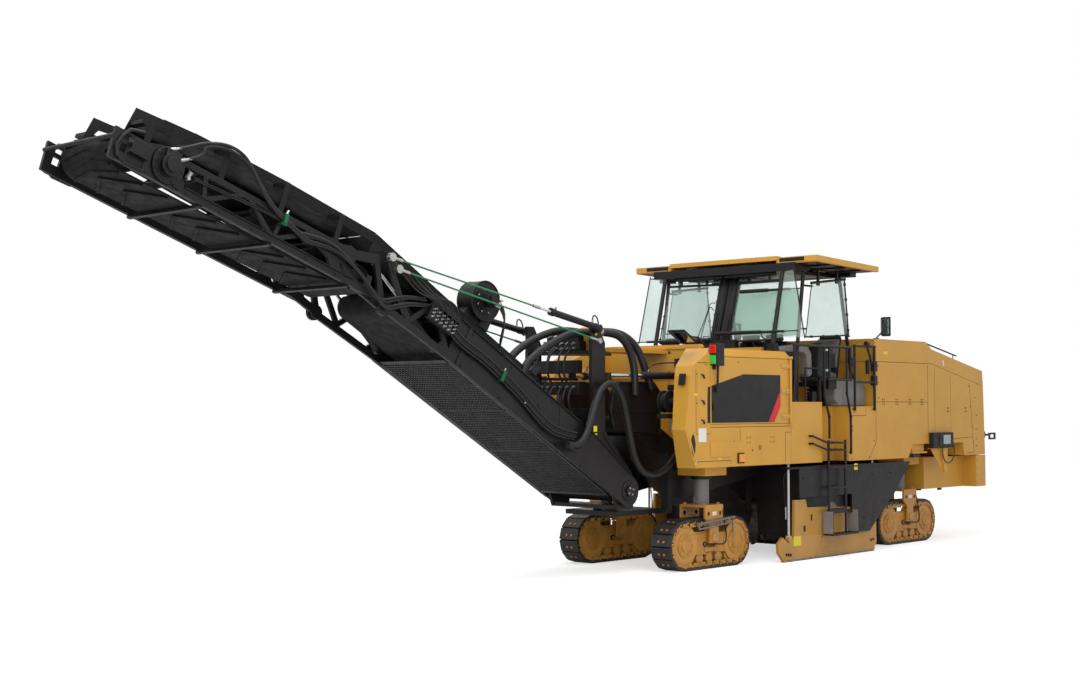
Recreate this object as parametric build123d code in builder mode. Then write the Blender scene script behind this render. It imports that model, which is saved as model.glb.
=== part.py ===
# Cold planer (road milling machine) on four steered tracks, with a folding loading conveyor.
# Millimetres. +X rearward, +Y the machine's right side, +Z up, ground at z = 0, mid-width at y = 0,
# x = 0 at the front end of the front tracks. Side -1 is the left of the machine, side +1 the right.
# finish() moves every piece forward by FRAME_ORIGIN_X, so the shared frame's zero is mid-length.
import os
from math import atan2, cos, degrees, hypot, pi, radians, sin

from build123d import *

os.makedirs("parts", exist_ok=True)

# Clearances
RUN_GAP = 0.08          # radial play of a pin in its bore
SEAT_GAP = 0.3          # play between pieces that rest on each other
MOVE_GAP = 6.0          # room round a door or another moving piece

FRAME_ORIGIN_X = 209.0  # where the machine's mid-length lies on the drawing's x axis

# Body shell
BODY_HALF = 1250.0      # half of the body's width
BODY_BOTTOM = 1300.0    # underside of the yellow bodywork
PANEL = 40.0            # thickness of a bodywork wall
DECK_TOP = 2060.0       # operator's floor
DECK_THICK = 60.0

# Tracks
TRACK_GAUGE_HALF = 760.0
SHOE_WIDTH = 305.0
TRACK_LENGTH = 1720.0
TRACK_HEIGHT = 640.0
SHOE_THICK = 42.0
LINK_THICK = 26.0
SHOE_COUNT = 26
SHOE_GAP = 14.0
FRONT_AXLE_X = 860.0
REAR_AXLE_X = 5860.0
COLUMN_R = 100.0        # lifting column of each leg
COLUMN_TOP = 1900.0
SLEEVE_WALL = 45.0
SLEEVE_BOTTOM = 1180.0
YOKE_TOP = 810.0
YOKE_PLATE = 30.0
YOKE_HALF_X = 190.0

# Milling drum and its box
DRUM_X, DRUM_Z = 3350.0, 560.0
DRUM_TIP_R = 505.0
DRUM_SHELL_R = 410.0
DRUM_HUB_R = 180.0
DRUM_HALF_WIDTH = 1117.0
DRUM_CHAMBER_R = 570.0
BOX_TOP = 1250.0
BOX_HALF = 1145.0
BOX_WALL = 20.0
PLATE_IN = BOX_HALF + 13.0      # side plate, inner face
PLATE_THICK = 42.0
SKIRT_IN = PLATE_IN + PLATE_THICK + 12.0    # black skirt outside the side plate
SKIRT_THICK = 30.0
LIFT_ROD_R = 16.0
LIFT_ROD_X = (2230.0, 4380.0)
LIFT_ROD_Y = PLATE_IN + PLATE_THICK / 2

# Mast, loading conveyor and primary conveyor
SWING_X = -300.0        # swing axis of the mast
HUB_X, HUB_Z = -410.0, 1020.0
HUB_R = 60.0
FOLD_X, FOLD_Z = -4410.0, 3090.0        # pin the upper section folds about
UPPER_X, UPPER_Z = -4420.0, 3190.0      # where the upper section is measured from
LOWER_SLOPE = 30.0
UPPER_SLOPE = 19.6
CONV_OUT = 600.0        # outer face of the conveyor's side frames
CONV_PLATE = 38.0
MAST_PLATE = 40.0
MAST_OUT = CONV_OUT - CONV_PLATE - 17.0
BELT_HALF = 400.0
BELT_THICK = 16.0


def block(x, y, z, mode=Mode.ADD):
    """A box between two corners, given as (low, high) pairs."""
    with Locations(((x[0] + x[1]) / 2, (y[0] + y[1]) / 2, (z[0] + z[1]) / 2)):
        Box(abs(x[1] - x[0]), abs(y[1] - y[0]), abs(z[1] - z[0]), mode=mode)


def outline(points, y, mode=Mode.ADD):
    """A side-view outline of (x, z) points, extruded across the machine between two y values."""
    low, high = sorted(y)
    with BuildSketch(Plane.XZ.offset(-low)) as shape:
        with BuildLine():
            Polyline(*points, close=True)
        make_face()
    extrude(shape.sketch, amount=-(high - low), mode=mode)


def plan(points, z, mode=Mode.ADD):
    """A plan outline of (x, y) points, extruded between two heights."""
    with BuildSketch(Plane.XY.offset(z[0])) as shape:
        with BuildLine():
            Polyline(*points, close=True)
        make_face()
    extrude(shape.sketch, amount=z[1] - z[0], mode=mode)


def rod(start, end, radius, mode=Mode.ADD):
    """A round bar between two points."""
    way = Vector(end) - Vector(start)
    with BuildSketch(Plane(origin=start, z_dir=way)) as shape:
        Circle(radius)
    extrude(shape.sketch, amount=way.length, mode=mode)


def bent(points, radius):
    """A bent tube through points that share one y, with a round knuckle at each bend."""
    for start, end in zip(points, points[1:]):
        rod(start, end, radius)
    for x, y, z in points[1:-1]:
        rod((x, y - radius, z), (x, y + radius, z), radius)


def pane(corners, thick):
    """A flat pane from its corners in space. The first three set its plane."""
    first, second, third = (Vector(corner) for corner in corners[:3])
    flat = Plane(origin=first, x_dir=second - first, z_dir=(second - first).cross(third - first))
    spots = [flat.to_local_coords(Vector(corner)) for corner in corners]
    with BuildSketch(flat) as shape:
        with BuildLine():
            Polyline(*[(spot.X, spot.Y) for spot in spots], close=True)
        make_face()
    extrude(shape.sketch, amount=thick)


def across(side, near, far):
    """The y values of a piece that spans near to far on one side of the machine."""
    return tuple(sorted((side * near, side * far)))


def finish(piece, name):
    """Move a finished piece to the shared frame, label it and write it."""
    shape = piece.part.translate((-FRAME_ORIGIN_X, 0, 0), transform=True)
    shape.label = name
    export_step(shape, f"parts/{name}.step")


SIDES = (("left", -1), ("right", 1))


# Track loop: a ring of links with a shoe on each, all one solid
LOOP_R = TRACK_HEIGHT / 2                       # outer radius, over the shoes
LOOP_HALF = TRACK_LENGTH / 2 - LOOP_R           # half the straight run
LINK_R = LOOP_R - SHOE_THICK
LOOP_INNER_R = LINK_R - LINK_THICK
AXLES = (("front", FRONT_AXLE_X), ("rear", REAR_AXLE_X))


def loop_place(share, radius):
    """Point and heading on a track loop of the given radius, from a share of its length."""
    straight, bend = 2 * LOOP_HALF, pi * radius
    along = share * 2 * (straight + bend)
    if along < straight:
        return along - LOOP_HALF, -radius, 0.0
    along -= straight
    if along < bend:
        turn = along / radius
        return LOOP_HALF + radius * sin(turn), -radius * cos(turn), degrees(turn)
    along -= bend
    if along < straight:
        return LOOP_HALF - along, radius, 180.0
    turn = (along - straight) / radius
    return -LOOP_HALF - radius * sin(turn), radius * cos(turn), 180.0 + degrees(turn)


# One track and one leg, made about x = 0 and mid-width, then set at each corner
SHOE_PITCH = 2 * (2 * LOOP_HALF + pi * LOOP_R) / SHOE_COUNT
SHOE_LENGTH = SHOE_PITCH - SHOE_GAP
SHOE_DIP = LOOP_R - (LOOP_R ** 2 - (SHOE_LENGTH / 2) ** 2) ** 0.5    # sets a flat shoe inside the bend
with BuildPart() as track_shape:
    with BuildSketch(Plane.XZ.offset(-SHOE_WIDTH / 2)) as loop_face:
        with Locations((0, LOOP_R)):
            SlotCenterToCenter(2 * LOOP_HALF, 2 * LINK_R)
        for shoe in range(SHOE_COUNT):
            dx, dz, turn = loop_place((shoe + 0.5) / SHOE_COUNT, LOOP_R - SHOE_THICK / 2)
            dip = SHOE_DIP if turn % 180 else 0
            with Locations(Location((dx - dip * sin(radians(turn)), LOOP_R + dz + dip * cos(radians(turn)), 0),
                                    (0, 0, turn))):
                Rectangle(SHOE_LENGTH, SHOE_THICK + 2)
        with Locations((0, LOOP_R)):
            SlotCenterToCenter(2 * LOOP_HALF, 2 * LOOP_INNER_R, mode=Mode.SUBTRACT)
    extrude(amount=SHOE_WIDTH)

# Lifting column, yoke and track frame turn together when the track is steered
FRAME_HALF = 100.0
YOKE_IN = SHOE_WIDTH / 2 + 22
YOKE_OUT = YOKE_IN + YOKE_PLATE
ROLLER_R = 70.0
ROLLER_Z = LOOP_R - LOOP_INNER_R + SEAT_GAP + ROLLER_R
with BuildPart() as leg_shape:
    rod((0, 0, YOKE_TOP - YOKE_PLATE), (0, 0, COLUMN_TOP), COLUMN_R)
    block((-YOKE_HALF_X, YOKE_HALF_X), (-YOKE_OUT, YOKE_OUT), (YOKE_TOP - YOKE_PLATE, YOKE_TOP))
    for low, high in ((-YOKE_OUT, -YOKE_IN), (YOKE_IN, YOKE_OUT)):
        outline([(-YOKE_HALF_X, YOKE_TOP - 1), (YOKE_HALF_X, YOKE_TOP - 1), (YOKE_HALF_X, 640), (90, 560),
                 (90, 330), (-90, 330), (-90, 560), (-YOKE_HALF_X, 640)], (low, high))
    rod((0, -YOKE_OUT, 400), (0, YOKE_OUT, 400), 42)
    block((-LOOP_HALF, LOOP_HALF), (-FRAME_HALF, FRAME_HALF), (LOOP_R - 130, LOOP_R + 130))
    for shift in (-LOOP_HALF, LOOP_HALF):
        rod((shift, -SHOE_WIDTH / 2 + 8, LOOP_R), (shift, SHOE_WIDTH / 2 - 8, LOOP_R),
            LOOP_INNER_R - SEAT_GAP)
    for roller in range(5):
        roller_x = 200 * (roller - 2)
        rod((roller_x, -120, ROLLER_Z), (roller_x, 120, ROLLER_Z), ROLLER_R)

for end, axle_x in AXLES:
    for side_name, side in SIDES:
        corner = Location((axle_x, side * TRACK_GAUGE_HALF, 0))
        with BuildPart() as track:
            add(track_shape.part.moved(corner))
        finish(track, f"track_{end}_{side_name}")
        with BuildPart() as leg:
            add(leg_shape.part.moved(corner))
        finish(leg, f"leg_{end}_{side_name}")

# Chassis: two rails with rear lugs, and posts that hold the primary conveyor
RAIL_IN, RAIL_OUT = 440.0, 560.0
RAIL_LOW, RAIL_HIGH = 900.0, 1240.0
RAIL_OVER_BOX = 1160.0
RAIL_FRONT = 430.0
RAIL_REAR = 7700.0
LUG_BORE_R = 25.0       # tie-down holes, two in the mast's bracket and two in lugs under the rear
FRONT_LUG = (-370.0, 350.0)
REAR_LUG = (7640.0, 755.0)
SLEEVE_R = COLUMN_R + SLEEVE_WALL
BRACKET_Z = (700.0, 760.0)
SWING_PIN_R = 55.0
PRIME_HALF = 400.0
POST_X = (440.0, 520.0)
RAIL_SIDE = [(RAIL_FRONT, BRACKET_Z[1] + SEAT_GAP), (RAIL_FRONT, RAIL_HIGH), (RAIL_REAR, RAIL_HIGH),
             (RAIL_REAR, RAIL_LOW), (4120, RAIL_LOW), (4120, RAIL_OVER_BOX), (2440, RAIL_OVER_BOX),
             (2440, 1130), (900, RAIL_LOW), (540, RAIL_LOW), (510, BRACKET_Z[1] + SEAT_GAP)]
with BuildPart() as main_frame:
    for side_name, side in SIDES:
        outline(RAIL_SIDE, across(side, RAIL_IN, RAIL_OUT))
        block(POST_X, across(side, PRIME_HALF + SEAT_GAP, RAIL_OUT), (RAIL_HIGH - 1, 1640))
        outline([(7580, RAIL_LOW + 1), (7580, 760), (7600, 710), (7680, 710), (7700, 760), (7700, RAIL_LOW + 1)],
                across(side, RAIL_IN + 45, RAIL_OUT - 45))
        rod((REAR_LUG[0], side * RAIL_IN, REAR_LUG[1]), (REAR_LUG[0], side * RAIL_OUT, REAR_LUG[1]),
            LUG_BORE_R, Mode.SUBTRACT)
finish(main_frame, "main_frame")

# Cross members, as (front, rear, bottom), with hangers for the primary conveyor's tail
CROSS = ((2360, 2440, RAIL_OVER_BOX), (4120, 4240, RAIL_LOW), (5400, 5500, RAIL_LOW), (7580, 7700, RAIL_LOW))
with BuildPart() as cross_members:
    for front, rear, low in CROSS:
        block((front, rear), (-RAIL_IN + SEAT_GAP, RAIL_IN - SEAT_GAP), (low, RAIL_HIGH))
    for side_name, side in SIDES:
        block(CROSS[0][:2], across(side, PRIME_HALF + SEAT_GAP, RAIL_IN - SEAT_GAP), (600, RAIL_OVER_BOX + 1))
finish(cross_members, "cross_members")

# Sleeves that guide the four lifting columns, each on a bracket off the rail
with BuildPart() as leg_sleeves:
    for end, axle_x in AXLES:
        for side_name, side in SIDES:
            block((axle_x - 230, axle_x + 230), across(side, RAIL_OUT + SEAT_GAP, 990), (SLEEVE_BOTTOM, 1290))
            rod((axle_x, side * TRACK_GAUGE_HALF, SLEEVE_BOTTOM),
                (axle_x, side * TRACK_GAUGE_HALF, COLUMN_TOP + 60), SLEEVE_R)
            rod((axle_x, side * TRACK_GAUGE_HALF, SLEEVE_BOTTOM - 1),
                (axle_x, side * TRACK_GAUGE_HALF, COLUMN_TOP + 20), COLUMN_R + 1, Mode.SUBTRACT)
finish(leg_sleeves, "leg_sleeves")

# Bracket under the rails that carries the mast's lower swing pin
with BuildPart() as mast_bracket:
    plan([(-430, -420), (-430, 420), (400, 420), (400, RAIL_OUT), (510, RAIL_OUT), (510, -RAIL_OUT),
          (400, -RAIL_OUT), (400, -420)], BRACKET_Z)
    for side_name, side in SIDES:
        rod((FRONT_LUG[0], side * FRONT_LUG[1], BRACKET_Z[0] - 1),
            (FRONT_LUG[0], side * FRONT_LUG[1], BRACKET_Z[1] + 1), LUG_BORE_R, Mode.SUBTRACT)
    rod((SWING_X, 0, BRACKET_Z[0] - 1), (SWING_X, 0, BRACKET_Z[1] + 1), SWING_PIN_R + RUN_GAP,
        Mode.SUBTRACT)
finish(mast_bracket, "mast_bracket")

# Drum box: chamber over the milling drum, with skirts outside the lifting side plates
MOLD_X = (3966.0, 4006.0)
MOLD_ROD_Y = 800.0
MOLD_ROD_R = 20.0
CHAMBER_HALF = BOX_HALF - BOX_WALL
FLANGE_THICK = 24.0
with BuildPart() as drum_box:
    outline([(2620, 300), (2520, BOX_TOP - 10), (4110, BOX_TOP - 10), (4110, 700), (4020, 700),
             (4020, 1180), (3952, 1180), (3952, 420), (3800, 300)], (-BOX_HALF, BOX_HALF))
    rod((DRUM_X, -CHAMBER_HALF, DRUM_Z), (DRUM_X, CHAMBER_HALF, DRUM_Z), DRUM_CHAMBER_R, Mode.SUBTRACT)
    block((DRUM_X - DRUM_CHAMBER_R + 60, DRUM_X + DRUM_CHAMBER_R - 60), (-CHAMBER_HALF, CHAMBER_HALF),
          (0, DRUM_Z), Mode.SUBTRACT)
    rod((DRUM_X, -BOX_HALF - 1, DRUM_Z), (DRUM_X, BOX_HALF + 1, DRUM_Z), DRUM_HUB_R + RUN_GAP, Mode.SUBTRACT)
    block((2500, 2900), (-430, 430), (250, 800), Mode.SUBTRACT)
    for side_name, side in SIDES:
        block((2500, 4130), across(side, RAIL_IN - SEAT_GAP, RAIL_OUT + SEAT_GAP),
              (RAIL_OVER_BOX - SEAT_GAP, BOX_TOP + 1), Mode.SUBTRACT)
        outline([(4100, 700), (4960, 960), (5300, BOX_TOP - 10), (4100, BOX_TOP - 10)],
                across(side, RAIL_OUT + SEAT_GAP, BOX_HALF))
        block((2180, 5300), across(side, BOX_HALF - 60, SKIRT_IN + SKIRT_THICK), (BOX_TOP - FLANGE_THICK, BOX_TOP))
        outline([(2400, BOX_TOP), (5370, BOX_TOP), (4900, 800), (4720, 680), (4200, 300), (3870, 300),
                 (3730, 380), (3730, 840), (2400, 840)], across(side, SKIRT_IN, SKIRT_IN + SKIRT_THICK))
        rod(((MOLD_X[0] + MOLD_X[1]) / 2, side * MOLD_ROD_Y, 1179),
            ((MOLD_X[0] + MOLD_X[1]) / 2, side * MOLD_ROD_Y, BOX_TOP), MOLD_ROD_R + RUN_GAP, Mode.SUBTRACT)
        for lift_x in LIFT_ROD_X:
            rod((lift_x, side * LIFT_ROD_Y, BOX_TOP - 60), (lift_x, side * LIFT_ROD_Y, BOX_TOP + 10),
                LIFT_ROD_R + RUN_GAP, Mode.SUBTRACT)
finish(drum_box, "drum_box")

# Milling drum: shell, flanges and helical rows of tool holders
TOOL_ROWS, TOOLS_PER_ROW = 6, 14
with BuildPart() as milling_drum:
    rod((DRUM_X, -DRUM_HALF_WIDTH + 30, DRUM_Z), (DRUM_X, DRUM_HALF_WIDTH - 30, DRUM_Z), DRUM_SHELL_R)
    rod((DRUM_X, -BOX_HALF, DRUM_Z), (DRUM_X, BOX_HALF, DRUM_Z), DRUM_HUB_R)
    spots = []
    for row in range(TOOL_ROWS):
        for place in range(TOOLS_PER_ROW):
            share = place / (TOOLS_PER_ROW - 1) - 0.5
            swirl = 360 * row / TOOL_ROWS + 150 * abs(share)
            middle = Location((DRUM_X, share * 2 * (DRUM_HALF_WIDTH - 60), DRUM_Z), (0, swirl, 0))
            spots.append(middle * Location(((DRUM_SHELL_R + DRUM_TIP_R) / 2 - 8, 0, 0)))
    with Locations(*spots):
        Box(DRUM_TIP_R - DRUM_SHELL_R + 10, 44, 60)
finish(milling_drum, "milling_drum")

# Moldboard behind the drum, hung on two rods through the box's roof
with BuildPart() as moldboard:
    block(MOLD_X, (-BOX_HALF + 10, BOX_HALF - 10), (35, 860))
    block((MOLD_X[0] - 1, MOLD_X[1] + 40), (-BOX_HALF + 10, BOX_HALF - 10), (35, 95))
    for side_name, side in SIDES:
        rod(((MOLD_X[0] + MOLD_X[1]) / 2, side * MOLD_ROD_Y, 859),
            ((MOLD_X[0] + MOLD_X[1]) / 2, side * MOLD_ROD_Y, BODY_BOTTOM - 10), MOLD_ROD_R)
finish(moldboard, "moldboard")

# Side plates that float beside the cut, each with the chrome rods that lift it
PLATE_OUTLINE = [(2100, 0), (4330, 0), (4450, 110), (4450, 520), (4330, 620), (3300, 680), (2650, 700),
                 (2610, 810), (2350, 810), (2330, 300), (2180, 250), (2060, 330), (1950, 250),
                 (1960, 130)]
for side_name, side in SIDES:
    with BuildPart() as side_plate:
        outline(PLATE_OUTLINE, across(side, PLATE_IN, PLATE_IN + PLATE_THICK))
        block((2080, 4380), across(side, PLATE_IN - 6, PLATE_IN + PLATE_THICK + 6), (0, 36))
        for lift_x in LIFT_ROD_X:
            rod((lift_x, side * LIFT_ROD_Y, 240), (lift_x, side * LIFT_ROD_Y, BODY_BOTTOM + 20), LIFT_ROD_R)
    finish(side_plate, f"side_plate_{side_name}")

# Front bodies: tanks and lockers either side of the conveyor's slot, each with a hinged locker door
FRONT_REAR_X = 2196.0
FRONT_TOP = 2790.0
SLOT_HALF = 780.0
DOOR_X = (400.0, 2150.0)
DOOR_Z = (1840.0, 2680.0)
DOOR_THICK = 28.0
HINGE_X, HINGE_Y = DOOR_X[1] + 12.0, BODY_HALF + 22.0
HINGE_R, HINGE_PIN_R = 16.0, 10.0
HINGE_LUG = 34.0
for side_name, side in SIDES:
    with BuildPart() as front_body:
        outline([(90, BODY_BOTTOM), (FRONT_REAR_X, BODY_BOTTOM), (FRONT_REAR_X, FRONT_TOP),
                 (480, FRONT_TOP), (40, 2560), (-10, 2440), (-120, 1770), (70, 1350)],
                across(side, SLOT_HALF, BODY_HALF))
        plan([(-300, side * 1060), (-300, side * 700), (560, side * 700), (560, side * SLOT_HALF),
              (-200, side * 1080)], (BODY_BOTTOM - 1, FRONT_TOP + 1), Mode.SUBTRACT)
        top_edge = front_body.part.edges().filter_by(Axis.X).sort_by(
            lambda edge: -edge.center().Z - side * edge.center().Y)[0]
        chamfer(top_edge, 90)
        block((DOOR_X[0] - MOVE_GAP, DOOR_X[1] + MOVE_GAP),
              across(side, BODY_HALF - DOOR_THICK - MOVE_GAP, BODY_HALF + 1),
              (DOOR_Z[0] - MOVE_GAP, DOOR_Z[1] + MOVE_GAP), Mode.SUBTRACT)
        rod((FRONT_AXLE_X, side * TRACK_GAUGE_HALF, BODY_BOTTOM - 1),
            (FRONT_AXLE_X, side * TRACK_GAUGE_HALF, COLUMN_TOP + 70), SLEEVE_R + SEAT_GAP, Mode.SUBTRACT)
        for low, pin in ((DOOR_Z[0] - MOVE_GAP - HINGE_LUG, (DOOR_Z[0] - 20, DOOR_Z[0] + 55)),
                         (DOOR_Z[1] + MOVE_GAP, (DOOR_Z[1] - 55, DOOR_Z[1] + 20))):
            block((HINGE_X - HINGE_R, HINGE_X + 2 * HINGE_R), across(side, BODY_HALF - 1, HINGE_Y + HINGE_R),
                  (low, low + HINGE_LUG))
            rod((HINGE_X, side * HINGE_Y, pin[0]), (HINGE_X, side * HINGE_Y, pin[1]), HINGE_PIN_R)
    finish(front_body, f"front_body_{side_name}")

    with BuildPart() as locker_door:
        block(DOOR_X, across(side, BODY_HALF - DOOR_THICK, BODY_HALF), DOOR_Z)
        rod((HINGE_X, side * HINGE_Y, DOOR_Z[0] + MOVE_GAP), (HINGE_X, side * HINGE_Y, DOOR_Z[1] - MOVE_GAP), HINGE_R)
        for strap_z in (1900, 2230, 2560):
            block((1960, DOOR_X[1] - 2), across(side, BODY_HALF - 1, BODY_HALF + 16), (strap_z, strap_z + 60))
            block((DOOR_X[1] - 10, HINGE_X), across(side, BODY_HALF + 8, BODY_HALF + 16), (strap_z, strap_z + 60))
        for end_z in (DOOR_Z[0], DOOR_Z[1] - 60):
            rod((HINGE_X, side * HINGE_Y, end_z), (HINGE_X, side * HINGE_Y, end_z + 60), HINGE_PIN_R + RUN_GAP,
                Mode.SUBTRACT)
    finish(locker_door, f"locker_door_{side_name}")

# Bridge between the front bodies, which carries the mast's upper swing bearing
BRIDGE_X = (800.0, 920.0)
TOP_PLATE_Z = (2700.0, 2740.0)
SWING_EYE = (-450.0, 290.0)      # rod eye of a swing cylinder, side -1 has y negated
SWING_FOOT = (600.0, 725.0)
SWING_CYL_Z = 2450.0
with BuildPart() as front_bridge:
    block(BRIDGE_X, (-SLOT_HALF + SEAT_GAP, SLOT_HALF - SEAT_GAP), (2390, 2860))
    plan([(SWING_X - 110, -110), (SWING_X - 110, 110), (BRIDGE_X[0] + 10, 260), (BRIDGE_X[0] + 10, -260)],
         (TOP_PLATE_Z[1] + MOVE_GAP, TOP_PLATE_Z[1] + MOVE_GAP + 50))
    rod((SWING_X, 0, TOP_PLATE_Z[0]), (SWING_X, 0, TOP_PLATE_Z[1] + MOVE_GAP + 50), SWING_PIN_R)
finish(front_bridge, "front_bridge")

# Swing cylinders: barrel on the body, rod to the mast
SWING_ROD_R = 22.0
GLAND = 40.0            # length of the close bore at a barrel's mouth
with BuildPart() as swing_barrels:
    for side_name, side in SIDES:
        eye = Vector(SWING_EYE[0], side * SWING_EYE[1], SWING_CYL_Z)
        foot = Vector(SWING_FOOT[0], side * SWING_FOOT[1], SWING_CYL_Z)
        way = (eye - foot).normalized()
        barrel_end = foot + way * 640
        rod(foot, barrel_end, 45)
        rod((foot + way * 10), (barrel_end - way * GLAND), SWING_ROD_R + 4, Mode.SUBTRACT)
        rod((foot + way * 10), (barrel_end + way), SWING_ROD_R + RUN_GAP, Mode.SUBTRACT)
        block((SWING_FOOT[0] - 10, SWING_FOOT[0] + 90), across(side, SWING_FOOT[1] - 60, SLOT_HALF - SEAT_GAP),
              (SWING_CYL_Z - 60, SWING_CYL_Z + 60))
finish(swing_barrels, "swing_barrels")
for side_name, side in SIDES:
    eye = Vector(SWING_EYE[0], side * SWING_EYE[1], SWING_CYL_Z)
    foot = Vector(SWING_FOOT[0], side * SWING_FOOT[1], SWING_CYL_Z)
    way = (eye - foot).normalized()
    with BuildPart() as swing_rod:
        rod((foot + way * 320), (eye - way * 30), SWING_ROD_R)
        rod((eye.X, eye.Y, SWING_CYL_Z - 24), (eye.X, eye.Y, SWING_CYL_Z + 24), 48)
    finish(swing_rod, f"swing_rod_{side_name}")

# Mast: two plates that carry the conveyor's hub and stays, swung about a vertical pin
MAST_PIN = (-990.0, 3000.0)
MAST_PIN_R = 22.0
TAIL_SHAFT_R = 30.0
MAST_OUTLINE = [(-1050, 3060), (-930, 3060), (-790, 2830), (-790, 1760), (-300, 1260), (-240, 1020),
                (-260, 800), (-560, 800), (-640, 1000), (-1040, 1520)]
with BuildPart() as mast:
    for side_name, side in SIDES:
        outline(MAST_OUTLINE, across(side, MAST_OUT - MAST_PLATE, MAST_OUT))
        rod((HUB_X, side * (MAST_OUT - MAST_PLATE), HUB_Z), (HUB_X, side * (CONV_OUT + 25), HUB_Z), HUB_R)
        rod((HUB_X, side * (MAST_OUT - MAST_PLATE - 1), HUB_Z), (HUB_X, side * MAST_OUT, HUB_Z),
            TAIL_SHAFT_R + RUN_GAP, Mode.SUBTRACT)
        rod((MAST_PIN[0], side * (MAST_OUT - MAST_PLATE), MAST_PIN[1]),
            (MAST_PIN[0], side * 650, MAST_PIN[1]), MAST_PIN_R)
    block((-560, -260), (-MAST_OUT, MAST_OUT), (BRACKET_Z[1] + MOVE_GAP + 34, 850))
    rod((SWING_X, 0, BRACKET_Z[0]), (SWING_X, 0, 850), SWING_PIN_R)
    plan([(-980, -MAST_OUT + 1), (-980, MAST_OUT - 1), (-800, MAST_OUT - 1), (SWING_X + 120, 120),
          (SWING_X + 120, -120), (-800, -MAST_OUT + 1)], TOP_PLATE_Z)
    rod((SWING_X, 0, TOP_PLATE_Z[0] - 1), (SWING_X, 0, TOP_PLATE_Z[1] + 1), SWING_PIN_R + RUN_GAP,
        Mode.SUBTRACT)
    block((-1000, -860), (-MAST_OUT, MAST_OUT), (1900, 2040))
    for side_name, side in SIDES:
        plan([(-860, side * (MAST_OUT - 1)), (-780, side * (MAST_OUT - 1)), (SWING_EYE[0] + 60, side * 320),
              (SWING_EYE[0] + 60, side * 240), (SWING_EYE[0] - 60, side * 240), (-860, side * 440)],
             (SWING_CYL_Z - 64, SWING_CYL_Z - 30))
finish(mast, "mast")

# Loading conveyor, lower section. Along (u) runs up its slope from the hub, out (v) square to it.
LOWER_U = (-cos(radians(LOWER_SLOPE)), sin(radians(LOWER_SLOPE)))
UPPER_U = (-cos(radians(UPPER_SLOPE)), sin(radians(UPPER_SLOPE)))


def on_lower(u, v):
    """(x, z) of a point on the lower section."""
    return HUB_X + u * LOWER_U[0] + v * LOWER_U[1], HUB_Z + u * LOWER_U[1] - v * LOWER_U[0]


def on_upper(u, v):
    """(x, z) of a point on the upper section."""
    return UPPER_X + u * UPPER_U[0] + v * UPPER_U[1], UPPER_Z + u * UPPER_U[1] - v * UPPER_U[0]


def section(place, points, y, mode=Mode.ADD):
    """An outline of (u, v) points on one conveyor section, extruded between two y values."""
    outline([place(u, v) for u, v in points], y, mode)


def bar(place, start, end, width, y):
    """A straight flat bar in the side frame of a conveyor section."""
    du, dv = end[0] - start[0], end[1] - start[1]
    reach = hypot(du, dv)
    nu, nv = -dv / reach * width / 2, du / reach * width / 2
    section(place, [(start[0] + nu, start[1] + nv), (end[0] + nu, end[1] + nv),
                    (end[0] - nu, end[1] - nv), (start[0] - nu, start[1] - nv)], y)


def pin(place, spot, radius, y, mode=Mode.ADD):
    """A round bar, disc or bore on a conveyor section at (u, v), between two y values."""
    x, z = place(*spot)
    rod((x, y[0], z), (x, y[1], z), radius, mode)


def belt_loop(place, tail, head):
    """An endless belt round two drums of one section, each given as (u, v, outer radius)."""
    for inset, mode in ((0, Mode.ADD), (BELT_THICK, Mode.SUBTRACT)):
        with BuildSketch(Plane.XZ.offset(BELT_HALF)) as shape:
            with BuildLine():
                for u, v, radius in (tail, head):
                    CenterArc(place(u, v), radius - inset, 0, 360)
            make_hull()
        extrude(shape.sketch, amount=-2 * BELT_HALF, mode=mode)


LOWER_LEN = 4500.0
LOWER_TOP = 290.0
LOWER_LOW = -170.0
LOWER_PLATE_END = LOWER_LEN - 1000.0
CONV_IN = CONV_OUT - CONV_PLATE
FOLD_PIN_R = 40.0
LOWER_REACH = (FOLD_X - HUB_X, FOLD_Z - HUB_Z)
FOLD_ON_LOWER = (LOWER_REACH[0] * LOWER_U[0] + LOWER_REACH[1] * LOWER_U[1],
                 LOWER_REACH[0] * LOWER_U[1] - LOWER_REACH[1] * LOWER_U[0])
UPPER_REACH = (FOLD_X - UPPER_X, FOLD_Z - UPPER_Z)
FOLD_ON_UPPER = (UPPER_REACH[0] * UPPER_U[0] + UPPER_REACH[1] * UPPER_U[1],
                 UPPER_REACH[0] * UPPER_U[1] - UPPER_REACH[1] * UPPER_U[0])
DRUM_END = BELT_HALF - 10
IDLER_R = 50.0
SHAFT_R = 25.0
FOLD_FOOT = (LOWER_PLATE_END + 87, -135)        # foot of the fold cylinder on the lower section
FOLD_EYE = (199.0, 356.0)                       # its rod's eye on the upper section
FOLD_CYL_Y = 460.0
FOLD_CYL_R = 38.0
BELT_R = 130.0
LOWER_TAIL, LOWER_HEAD = (0, 0, BELT_R), (LOWER_LEN - 250, 0, BELT_R)
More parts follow.
